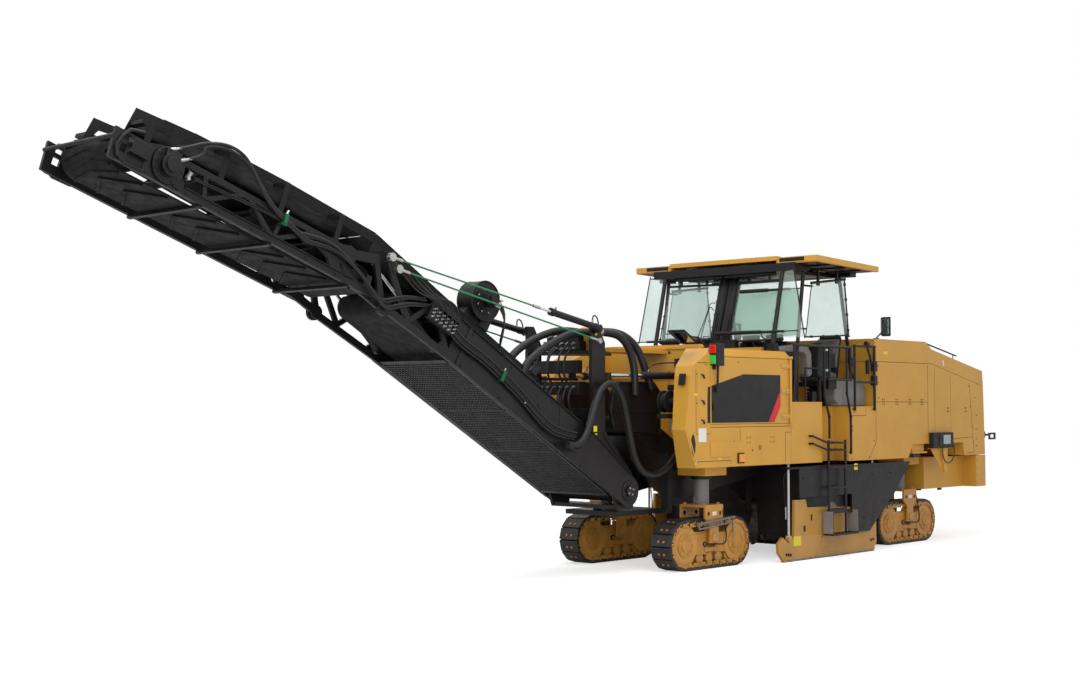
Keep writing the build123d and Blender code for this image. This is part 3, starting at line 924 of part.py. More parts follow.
# Access ladders: two rails with rungs above a low step box, hung from the platform's side
RUNG_Y = BODY_HALF + 60.0
RAIL_R = 18.0
LADDER_RAILS = (3020.0, 3450.0)
STEP_PLATES = (2950.0, 3590.0)
with BuildPart() as ladders:
    for side_name, side in SIDES:
        for x in LADDER_RAILS:
            rod((x, side * RUNG_Y, 330), (x, side * RUNG_Y, 1600), RAIL_R)
        for z in (650, 950, 1230, 1460, 1560):
            block(LADDER_RAILS, across(side, RUNG_Y - 25, RUNG_Y + 20), (z - 12, z + 12))
        for z in (1460, 1560):
            rod((2630, side * RUNG_Y, z + 100), (LADDER_RAILS[0], side * RUNG_Y, z), 14)
            rod((2630, side * (BODY_HALF + SEAT_GAP), z + 100), (2630, side * (RUNG_Y + 14), z + 100), 14)
            rod((LADDER_RAILS[1], side * (BODY_HALF + SEAT_GAP - 200), z), (LADDER_RAILS[1], side * RUNG_Y, z), 14)
        for x in STEP_PLATES:
            block((x, x + 12), across(side, BODY_HALF + 5, BODY_HALF + 170), (320, 640))
        block((STEP_PLATES[0], STEP_PLATES[1] + 12), across(side, BODY_HALF + 5, BODY_HALF + 170), (308, 330))
        block((STEP_PLATES[0], STEP_PLATES[1] + 12), across(side, BODY_HALF + 5, BODY_HALF + 85), (600, 640))
finish(ladders, "ladders")

# Handrails: a bent rail each side of the ladder's gap, and two gates above the platform's side
GATE_Y = BODY_HALF + 27.0
THIN_RAIL_R = 16.0
with BuildPart() as handrails:
    for side_name, side in SIDES:
        y = side * GATE_Y
        bent([(2250, y, 2400), (2250, y, 2880), (3660, y, 2880), (3660, y, 2430), (3060, y, 2430)], RAIL_R)
        bent([(3770, y, 2000), (3770, y, 2910), (4310, y, 2910), (4310, y, 2000)], RAIL_R)
        bent([(2980, y, 2880), (2980, y, 2190), (3100, y, 1920), (3100, y, 1620)], THIN_RAIL_R)
        bent([(3560, y, 2880), (3560, y, 2240), (3660, y, 1920), (3660, y, 1400)], THIN_RAIL_R)
        rod((3110, y, 2430), (3110, y, 2880), THIN_RAIL_R)
        rod((3770, y, 2400), (4310, y, 2400), THIN_RAIL_R)
        for x, z in ((3660, 1420), (3770, 2020), (4310, 2020)):
            rod((x, side * (BODY_HALF + SEAT_GAP), z), (x, y, z), 14)
finish(handrails, "handrails")

with BuildPart() as mirrors:
    for side_name, side in SIDES:
        rod((4500, side * (BODY_HALF - 50), HOOD_TOP + 12), (4580, side * (BODY_HALF + 50), 3180), 10)
        block((4470, 4530), across(side, BODY_HALF - 80, BODY_HALF - 20), (HOOD_TOP + SEAT_GAP, HOOD_TOP + 14))
        block((4560, 4600), across(side, BODY_HALF - 10, BODY_HALF + 130), (3080, 3340))
finish(mirrors, "mirrors")
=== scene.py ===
# Looks for the cold planer: camera, light, paint and the small pieces that the solids leave out.
# Metres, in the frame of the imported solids. +X rearward, +Y the machine's right, +Z up.
import math

import bmesh
import bpy
from mathutils import Matrix, Vector


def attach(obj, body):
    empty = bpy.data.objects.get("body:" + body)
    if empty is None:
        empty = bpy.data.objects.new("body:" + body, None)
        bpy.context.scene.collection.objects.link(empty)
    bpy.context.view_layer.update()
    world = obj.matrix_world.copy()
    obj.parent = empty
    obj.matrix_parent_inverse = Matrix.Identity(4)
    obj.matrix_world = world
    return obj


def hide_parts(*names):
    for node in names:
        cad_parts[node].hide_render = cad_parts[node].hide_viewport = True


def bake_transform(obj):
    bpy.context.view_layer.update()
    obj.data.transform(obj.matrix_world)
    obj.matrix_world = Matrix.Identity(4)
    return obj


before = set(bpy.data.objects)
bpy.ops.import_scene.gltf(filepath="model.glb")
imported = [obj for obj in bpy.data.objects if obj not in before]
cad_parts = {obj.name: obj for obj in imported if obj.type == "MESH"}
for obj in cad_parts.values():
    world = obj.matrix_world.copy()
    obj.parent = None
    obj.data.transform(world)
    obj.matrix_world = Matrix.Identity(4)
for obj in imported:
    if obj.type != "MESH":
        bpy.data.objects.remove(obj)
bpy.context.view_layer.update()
SIDES = (("left", -1), ("right", 1))
AXLES = (("front", 0.86), ("rear", 5.86))   # x of each pair of tracks
TRACK_MID = 0.76        # from the machine's middle to a track's
WALL = 1.25             # outer face of the yellow walls
PLATE_FACE = 1.2        # outer face of the side plates
ORIGIN_X = 0.209        # the shared frame's zero lies this far behind the drawing's, which the pieces below use

# Camera: stands to the machine's front left, a little over head height
EYE = Vector((-15.129 - ORIGIN_X, -12.612, 2.063))
TURN, TILT = math.radians(42.509), math.radians(2.554)
look = Vector((math.cos(TILT) * math.cos(TURN), math.cos(TILT) * math.sin(TURN), math.sin(TILT)))
right = Vector((math.sin(TURN), -math.cos(TURN), 0))
lens = bpy.data.cameras.new("camera")
lens.lens, lens.sensor_width, lens.clip_end = 51.3, 36, 500
camera = bpy.data.objects.new("camera", lens)
bpy.context.scene.collection.objects.link(camera)
camera.matrix_world = Matrix.Translation(EYE) @ Matrix((right, right.cross(look), -look)).transposed().to_4x4()
bpy.context.scene.camera = camera
bpy.context.scene.view_settings.view_transform = "Standard"


# ---------------------------------------------------------------- finishes
def srgb(red, green, blue):
    """A colour read as 0 to 255 on screen, for a shader's socket."""
    return tuple((c / 255 / 12.92) if c <= 10 else ((c / 255 + 0.055) / 1.055) ** 2.4
                 for c in (red, green, blue)) + (1,)


class Graph:
    """A material being wired. add() makes a node, sets its sockets and links them."""

    def __init__(self, name):
        self.material = bpy.data.materials.new(name)
        self.material.use_nodes = True
        self.tree = self.material.node_tree
        self.tree.nodes.clear()
        self.out = self.tree.nodes.new("ShaderNodeOutputMaterial")
        self.coords = self.tree.nodes.new("ShaderNodeTexCoord").outputs["Object"]

    def add(self, kind, out=0, settings=None, **sockets):
        node = self.tree.nodes.new("ShaderNode" + kind)
        for key, value in (settings or {}).items():
            setattr(node, key, value)
        for key, value in sockets.items():
            numbered = key[0] == "i" and key[1:].isdigit()
            socket = node.inputs[int(key[1:]) if numbered else key.replace("_", " ")]
            if isinstance(value, bpy.types.NodeSocket):
                self.tree.links.new(value, socket)
            else:
                socket.default_value = value
        return node.outputs[out]

    def noise(self, scale, detail=3):
        return self.add("TexNoise", Vector=self.coords, Scale=scale, Detail=detail, Roughness=0.55)

    def span(self, value, low, high, to_low=0.0, to_high=1.0):
        return self.add("MapRange", Value=value, From_Min=low, From_Max=high, To_Min=to_low, To_Max=to_high)

    def mix(self, share, first, second):
        return self.add("Mix", 2, {"data_type": "RGBA"}, Factor=share, i6=first, i7=second)

    def sums(self, kind, first, second=0.0):
        return self.add("Math", 0, {"operation": kind}, i0=first, i1=second)

    def shade(self, **sockets):
        self.tree.links.new(self.add("BsdfPrincipled", **sockets), self.out.inputs["Surface"])
        return self.material


def finish(name, colour, rough, metal=0.0, specular=0.5, spread=0.08, blotch=2.2, grain=260.0, bump=0.08,
           edge=None, dust=0.0, dust_top=1.3, dust_colour=(150, 136, 116), pattern=None, coat=0.0):
    """Paint, rubber, plastic or bare metal: blotches, fine grain, softened edges, edge wear and road dust."""
    g = Graph(name)
    base = srgb(*colour)
    dark = tuple(c * (1 - spread) for c in base[:3]) + (1,)
    light = tuple(min(1, c * (1 + spread)) for c in base[:3]) + (1,)
    large, fine = g.noise(blotch, 4), g.noise(grain, 2)
    tone = g.mix(g.span(large, 0.35, 0.65), dark, light)
    soft = g.add("Bevel", settings={"samples": 3}, Radius=0.004)
    height = fine
    if pattern:
        tone, height = pattern(g, tone, fine)
    if edge:
        face = g.add("NewGeometry", 1)
        turned = g.add("VectorMath", 1, {"operation": "DOT_PRODUCT"}, i0=soft, i1=face)
        worn = g.sums("MULTIPLY", g.span(turned, 0.985, 0.9), g.span(g.noise(14, 4), 0.42, 0.62))
        tone = g.mix(worn, tone, srgb(*edge))
    if dust:
        height_z = g.add("SeparateXYZ", 2, Vector=g.coords)
        low = g.span(height_z, dust_top, 0.0, 0.0, dust)
        tone = g.mix(g.sums("MULTIPLY", low, g.span(g.noise(7, 5), 0.3, 0.7)), tone, srgb(*dust_colour))
    return g.shade(
        Base_Color=tone, Roughness=g.span(g.noise(9, 5), 0.25, 0.75, rough * 0.75, rough * 1.25),
        Metallic=metal, Specular_IOR_Level=specular, Coat_Weight=coat, Coat_Roughness=0.12,
        Normal=g.add("Bump", Strength=bump, Distance=0.002, Height=height, Normal=soft))


def mould(g, tone, fine):
    """Pressed rubber: a coarser cloth print under the grain."""
    cells = g.add("TexVoronoi", 0, Vector=g.coords, Scale=90.0)
    return tone, g.sums("ADD", fine, g.sums("MULTIPLY", cells, 0.6))


def stipple(g, tone, fine):
    """Moulded plastic or vinyl: leather-like cells."""
    cells = g.add("TexVoronoi", 0, Vector=g.coords, Scale=260.0)
    return g.mix(g.span(cells, 0.0, 0.35, 0.25, 0.0), tone, (0.02, 0.02, 0.02, 1)), cells


WORN_YELLOW = (222, 182, 104)
yellow = finish("yellow enamel", (206, 153, 58), 0.36, specular=0.4, spread=0.035, bump=0.035,
                edge=WORN_YELLOW, dust=0.1)
yellow_low = finish("yellow enamel, undercarriage", (196, 138, 48), 0.42, spread=0.14, blotch=5, bump=0.12,
                    edge=(120, 100, 70), dust=0.45, dust_top=0.9, dust_colour=(96, 74, 52))
black = finish("black enamel", (24, 22, 24), 0.4, specular=0.28, spread=0.22, blotch=3, bump=0.08, edge=(74, 72, 74),
               dust=0.08)
black_plain = finish("black enamel, covers", (20, 19, 20), 0.46, specular=0.22, spread=0.2, bump=0.06,
                     edge=(66, 64, 66))
shoe_black = finish("hard black shoe", (38, 36, 37), 0.5, specular=0.4, spread=0.25, blotch=9, grain=120, bump=0.3,
                    edge=(88, 84, 82), dust=0.35, dust_top=0.7, dust_colour=(84, 76, 68))
rubber = finish("belt rubber", (18, 17, 18), 0.68, specular=0.25, spread=0.3, grain=150, bump=0.3, dust=0.05,
                pattern=mould)
hose_black = finish("hose rubber", (26, 25, 26), 0.42, specular=0.35, spread=0.2, grain=500, bump=0.15)
steel = finish("cut steel", (128, 126, 124), 0.42, metal=0.9, spread=0.3, blotch=12, bump=0.3, edge=(190, 188, 184),
               dust=0.2)
chrome = finish("hard chrome", (205, 206, 210), 0.12, metal=1.0, spread=0.03, grain=90, bump=0.02)
zinc = finish("zinc fittings", (178, 178, 174), 0.32, metal=0.9, spread=0.15, blotch=30, bump=0.15)
grey = finish("grey moulding", (128, 124, 121), 0.55, spread=0.08, grain=320, bump=0.2, edge=(160, 157, 152),
              pattern=stipple)
vinyl = finish("grey seat vinyl", (112, 107, 105), 0.62, spread=0.1, bump=0.35, pattern=stipple)
plastic = finish("black moulding", (30, 30, 31), 0.55, specular=0.3, spread=0.2, grain=320, bump=0.25,
                 pattern=stipple)
cast = finish("engine casting", (92, 92, 90), 0.6, metal=0.3, spread=0.3, blotch=8, grain=70, bump=0.5,
              edge=(140, 138, 134))
grey_steel = finish("grey column", (112, 112, 114), 0.38, metal=0.35, spread=0.12, blotch=6, bump=0.1,
                    edge=(170, 170, 170), dust=0.2)
red = finish("red stripe", (205, 20, 26), 0.36, spread=0.05, bump=0.03)
white = finish("white plate", (226, 226, 222), 0.4, spread=0.04, bump=0.04)
lime = finish("yellow plate", (226, 206, 40), 0.4, spread=0.05, bump=0.04)
amber = finish("amber lens", (240, 150, 20), 0.12, spread=0.1, bump=0.05, coat=1.0)
red_lens = finish("red lens", (225, 24, 20), 0.12, spread=0.1, bump=0.05, coat=1.0)
green_lens = finish("green lens", (30, 190, 70), 0.12, spread=0.1, bump=0.05, coat=1.0)
clamp_green = finish("green clamp", (24, 92, 62), 0.4, metal=0.4, spread=0.2, bump=0.1)


def glazing(name, tint, rough, share):
    """Tinted sheet glass: mostly clear, with the tint and a film of dust showing over it."""
    g = Graph(name)
    film = g.span(g.noise(3, 5), 0.3, 0.7, share - 0.03, share + 0.04)
    clear = g.add("BsdfTransparent", Color=tint)
    gloss = g.add("BsdfPrincipled", Base_Color=g.mix(g.span(g.noise(2), 0.3, 0.7), srgb(188, 206, 200),
                                                     srgb(206, 218, 213)),
                  Roughness=g.span(g.noise(30, 3), 0.3, 0.7, rough, rough * 2), Specular_IOR_Level=0.6,
                  Normal=g.add("Bump", Strength=0.02, Distance=0.001, Height=g.noise(6)))
    g.tree.links.new(g.add("MixShader", Fac=film, i1=clear, i2=gloss), g.out.inputs["Surface"])
    return g.material


def zoned(name, first, second, where):
    """Two colours on one solid: where() gives the mask of the second."""
    def both(g, tone, fine):
        return g.mix(where(g), tone, srgb(*second)), fine
    return finish(name, first, 0.36, spread=0.1, bump=0.1, edge=WORN_YELLOW, dust=0.3, pattern=both)


def step(g, value, edge):
    """1 above an edge, 0 below it."""
    return g.span(value, edge - 0.002, edge + 0.002)


def split(g):
    """The three object coordinates, each as its own socket."""
    x, y, z = [g.add("SeparateXYZ", axis, Vector=g.coords) for axis in range(3)]
    return g.sums("ADD", x, ORIGIN_X), y, z


def lift_rods(g):
    x, y, z = split(g)
    front = g.sums("MULTIPLY", g.sums("SUBTRACT", 1.0, step(g, x, 2.25)), step(g, z, 0.335))
    rear = g.sums("MULTIPLY", step(g, x, 4.36), step(g, z, 0.625))
    return g.sums("MAXIMUM", front, rear)


def stay_rods(g):
    x, y, z = split(g)
    above = step(g, g.sums("ADD", z, g.sums("MULTIPLY", x, 0.192)), 2.735)
    return g.sums("MULTIPLY", step(g, x, -2.08), above)


def leg_column(g):
    return step(g, split(g)[2], 0.812)


plate_yellow = zoned("yellow side plate", (192, 140, 54), (196, 196, 200), lift_rods)
leg_yellow = zoned("yellow yoke and grey column", (196, 138, 48), (112, 112, 114), leg_column)
stay_coat = zoned("green stay rope", (18, 122, 72), (205, 206, 210), stay_rods)
glass = glazing("screen glass", (0.9, 0.955, 0.94, 1), 0.05, 0.2)
deep_glass = glazing("tinted glass", (0.7, 0.87, 0.8, 1), 0.05, 0.24)
mirror_face = finish("mirror glass", (214, 222, 226), 0.03, metal=1.0, spread=0.02, bump=0.01)

COATS = {
    yellow: ("front_body_left", "front_body_right", "front_bridge", "platform", "rear_body", "hood", "rear_box",
             "canopy_roof", "leg_sleeves", "bulkhead", "locker_door_left", "locker_door_right"),
    plate_yellow: ("side_plate_left", "side_plate_right"),
    black: ("main_frame", "cross_members", "mast_bracket", "drum_box", "swing_barrels", "mast", "conveyor_lower",
            "conveyor_upper", "lower_guard", "dust_fan", "lift_barrels", "fold_barrels", "primary_conveyor",
            "canopy_posts", "canopy_columns", "canopy_frame", "transfer_skirts", "rear_hooks", "ladders",
            "handrails", "moldboard"),
    black_plain: ("cover_lower", "cover_upper", "console"),
    rubber: ("belt_lower", "belt_upper", "belt_primary"),
    shoe_black: tuple(f"track_{end}_{name}" for end, _ in AXLES for name, _ in SIDES),
    leg_yellow: tuple(f"leg_{end}_{name}" for end, _ in AXLES for name, _ in SIDES),
    steel: ("milling_drum",),
    chrome: ("swing_rod_left", "swing_rod_right", "fold_rods"),
    stay_coat: ("lift_stays",),
    cast: ("engine_block",),
    glass: ("screens",),
    plastic: ("mirrors",),
}
for coat, names in COATS.items():
    for node_name in names:
        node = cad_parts[node_name]
        node.data.materials.clear()
        node.data.materials.append(coat)


# ---------------------------------------------------------------- building pieces
def slope_place(x, z, slope):
    """Places (along, across, out) of a conveyor section that starts at (x, z) and rises at the slope."""
    c, s = math.cos(math.radians(slope)), math.sin(math.radians(slope))
    return Matrix(((-c, 0, s, x), (0, 1, 0, 0), (s, 0, c, z), (0, 0, 0, 1)))


WORLD = Matrix.Translation((-ORIGIN_X, 0, 0))
LOWER = WORLD @ slope_place(-0.41, 1.02, 30)
UPPER = WORLD @ slope_place(-4.42, 3.19, 19.6)
MADE = []


class Piece:
    """One named mesh that rides on a body, put together from simple shapes."""

    def __init__(self, name, coat, body="chassis", place=WORLD, bevel=0.0, stands_for=()):
        self.name, self.body, self.coat, self.place = name, body, coat, place
        self.bevel, self.stands_for, self.bm = bevel, stands_for, bmesh.new()
        MADE.append(self)

    def box(self, x, y, z, turn=None):
        """A box between (low, high) pairs, turned about its middle if a turn (angle, axis) is given."""
        middle = Vector(((x[0] + x[1]) / 2, (y[0] + y[1]) / 2, (z[0] + z[1]) / 2))
        way = Matrix.Rotation(math.radians(turn[0]), 4, turn[1]) if turn else Matrix()
        bmesh.ops.create_cube(self.bm, size=1, matrix=self.place @ Matrix.Translation(middle) @ way
                              @ Matrix.Diagonal((abs(x[1] - x[0]), abs(y[1] - y[0]), abs(z[1] - z[0]), 1)))
        return self

    def slab(self, corners, pull):
        """A flat outline of corners in space, pulled along a vector into a solid."""
        face = self.bm.faces.new([self.bm.verts.new(self.place @ Vector(corner)) for corner in corners])
        pulled = bmesh.ops.extrude_face_region(self.bm, geom=[face], use_keep_orig=True)
        bmesh.ops.translate(self.bm, vec=self.place.to_3x3() @ Vector(pull),
                            verts=[part for part in pulled["geom"] if isinstance(part, bmesh.types.BMVert)])
        return self

    def side(self, outline, y):
        """An (x, z) outline between two y values."""
        return self.slab([(x, y[0], z) for x, z in outline], (0, y[1] - y[0], 0))

    def flat(self, outline, z):
        """An (x, y) outline between two heights."""
        return self.slab([(x, y, z[0]) for x, y in outline], (0, 0, z[1] - z[0]))

    def rod(self, start, end, radius, sides=16):
        """A round bar between two points."""
        start, end = Vector(start), Vector(end)
        way = end - start
        bmesh.ops.create_cone(self.bm, cap_ends=True, segments=sides, radius1=radius, radius2=radius,
                              depth=way.length, matrix=self.place @ Matrix.Translation((start + end) / 2)
                              @ way.to_track_quat("Z", "Y").to_matrix().to_4x4())
        return self

    def bent(self, points, radius, sides=12):
        """A bent bar through points, with a ball at each bend."""
        for start, end in zip(points, points[1:]):
            self.rod(start, end, radius, sides=sides)
        for point in points[1:-1]:
            bmesh.ops.create_uvsphere(self.bm, u_segments=sides, v_segments=8, radius=radius,
                                      matrix=self.place @ Matrix.Translation(point))
        return self

    def bolts(self, spots, way, radius=0.013, height=0.01):
        """Hexagon heads on washers, standing out along a way."""
        way = Vector(way).normalized()
        for spot in spots:
            spot = Vector(spot)
            self.rod(spot, spot + way * height * 0.3, radius * 1.5, sides=10)
            self.rod(spot, spot + way * height, radius, sides=6)
        return self

    def ring(self, spot, way, radius, thick, sides=24):
        """A round wire or bead round a way."""
        way = Vector(way).normalized()
        turn = self.place @ Matrix.Translation(spot) @ way.to_track_quat("Z", "Y").to_matrix().to_4x4()
        upright = Matrix.Translation((radius, 0, 0)) @ Matrix.Rotation(math.pi / 2, 4, "X")
        bead = bmesh.ops.create_circle(self.bm, segments=8, radius=thick, matrix=turn @ upright)["verts"]
        edges = list({edge for vert in bead for edge in vert.link_edges})
        bmesh.ops.spin(self.bm, geom=bead + edges, cent=turn.translation, axis=turn.to_3x3() @ Vector((0, 0, 1)),
                       angle=2 * math.pi, steps=sides, use_merge=True)
        return self

    def done(self):
        """Makes the object, with its finish, on its body."""
        bmesh.ops.recalc_face_normals(self.bm, faces=self.bm.faces)
        mesh = bpy.data.meshes.new(self.name)
        self.bm.to_mesh(mesh)
        self.bm.free()
        mesh.materials.append(self.coat)
        piece = bpy.data.objects.new(self.name, mesh)
        bpy.context.scene.collection.objects.link(piece)
        if self.bevel:
            rounding = piece.modifiers.new("rounding", "BEVEL")
            rounding.width, rounding.segments, rounding.limit_method = self.bevel, 2, "ANGLE"
        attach(piece, self.body)
        if self.stands_for:
            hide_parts(*self.stands_for)


def hoses(name, body, runs, radius, coat=hose_black, place=WORLD):
    """Round hoses or pipes that are fixed at both ends, each run on one smooth curve."""
    curve = bpy.data.curves.new(name, "CURVE")
    curve.dimensions, curve.bevel_depth, curve.bevel_resolution = "3D", radius, 3
    curve.resolution_u, curve.use_fill_caps = 6, True
    for run in runs:
        spline = curve.splines.new("NURBS")
        spline.points.add(len(run) - 1)
        for point, spot in zip(spline.points, run):
            point.co = (*(place @ Vector(spot)), 1)
        spline.order_u, spline.use_endpoint_u = 3, True
    curve.materials.append(coat)
    piece = bpy.data.objects.new(name, curve)
    bpy.context.scene.collection.objects.link(piece)
    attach(piece, body)


def across(name):
    """Turns a run of hoses that crosses a joint between two bodies into one smooth mesh, baked in place."""
    run = bpy.data.objects[name]
    bpy.context.view_layer.update()
    mesh = bpy.data.meshes.new_from_object(run.evaluated_get(bpy.context.evaluated_depsgraph_get()))
    for polygon in mesh.polygons:
        polygon.use_smooth = True
    bpy.data.objects.remove(run)
    piece = bpy.data.objects.new(name, mesh)
    bpy.context.scene.collection.objects.link(piece)
    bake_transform(piece)


def shifted(points, dx, dy, dz):
    """The points, all moved the same way."""
    return [(x + dx, y + dy, z + dz) for x, y, z in points]


def row(start, end, count):
    """Evenly spaced values from start to end."""
    return [start + (end - start) * i / (count - 1) for i in range(count)]


def widths(side, middle=0.0):
    """Turns two distances from a middle plane into a (low, high) pair of y values on one side of it."""
    return lambda near, far: tuple(sorted((middle + side * near, middle + side * far)))


def circle(count):
    """Angles all the way round."""
    return [2 * math.pi * i / count for i in range(count)]


# ---------------------------------------------------------------- studio
def stage_floor():
    g = Graph("studio floor")
    seen = g.add("LightPath", 0)
    speckle = g.mix(g.span(g.noise(0.6, 3), 0.3, 0.7), (0.8, 0.8, 0.8, 1), (0.82, 0.82, 0.82, 1))
    matt = g.add("BsdfDiffuse", Color=speckle)
    glow = g.add("Emission", Color=(1, 1, 1, 1), Strength=g.sums("MULTIPLY", seen, 0.56))
    g.tree.links.new(g.add("AddShader", i0=matt, i1=glow), g.out.inputs["Surface"])
    shape = bmesh.new()
    bmesh.ops.create_grid(shape, x_segments=1, y_segments=1, size=160)
    mesh = bpy.data.meshes.new("floor")
    shape.to_mesh(mesh)
    shape.free()
    mesh.materials.append(g.material)
    floor = bpy.data.objects.new("floor", mesh)
    bpy.context.scene.collection.objects.link(floor)


def studio():
    world = bpy.data.worlds.new("studio")
    world.use_nodes = True
    bpy.context.scene.world = world
    tree = world.node_tree
    tree.nodes.clear()
    path = tree.nodes.new("ShaderNodeLightPath")
    seen, glossy = tree.nodes.new("ShaderNodeMath"), tree.nodes.new("ShaderNodeMath")
    seen.operation = glossy.operation = "MAXIMUM"
    tree.links.new(path.outputs["Is Camera Ray"], seen.inputs[0])
    tree.links.new(path.outputs["Is Transmission Ray"], seen.inputs[1])
    tree.links.new(seen.outputs[0], glossy.inputs[0])
    tree.links.new(path.outputs["Is Glossy Ray"], glossy.inputs[1])
    level = tree.nodes.new("ShaderNodeMapRange")
    level.inputs["To Min"].default_value, level.inputs["To Max"].default_value = 0.55, 1.0
    tree.links.new(glossy.outputs[0], level.inputs["Value"])
    back, out = tree.nodes.new("ShaderNodeBackground"), tree.nodes.new("ShaderNodeOutputWorld")
    tree.links.new(level.outputs[0], back.inputs["Strength"])
    back.inputs["Color"].default_value = (1, 1, 1, 1)
    tree.links.new(back.outputs[0], out.inputs["Surface"])
    for name, spot, aim, size, power in (("overhead", (-3, -2, 12), (0, 0, 0), 12, 900),
                                         ("front_left", (-9, -12, 7), (2, 0, 1.5), 8, 620)):
        lamp = bpy.data.lights.new(name, "AREA")
        lamp.energy, lamp.size, lamp.shape = power, size, "SQUARE"
        holder = bpy.data.objects.new(name, lamp)
        bpy.context.scene.collection.objects.link(holder)
        spot, aim = Vector(spot), Vector(aim)
        holder.matrix_world = Matrix.Translation(spot) @ (aim - spot).to_track_quat("-Z", "Y").to_matrix().to_4x4()


stage_floor()
studio()

# ---------------------------------------------------------------- tracks and legs
LOOP_R, LOOP_HALF, LINK_R = 0.32, 0.54, 0.278
SHOES = 26


def on_loop(share, radius):
    """Point (dx, dz) and turn in degrees at a share of the track's loop, from the middle of the ground run."""
    straight, bend = 2 * LOOP_HALF, math.pi * radius
    along = (share % 1) * 2 * (straight + bend)
    if along < straight:
        return along - LOOP_HALF, -radius, 0.0
    along -= straight
    if along < bend:
        turn = along / radius
        return LOOP_HALF + radius * math.sin(turn), -radius * math.cos(turn), math.degrees(turn)
    along -= bend
    if along < straight:
        return LOOP_HALF - along, radius, 180.0
    turn = (along - straight) / radius
    return -LOOP_HALF - radius * math.sin(turn), radius * math.cos(turn), 180 + math.degrees(turn)


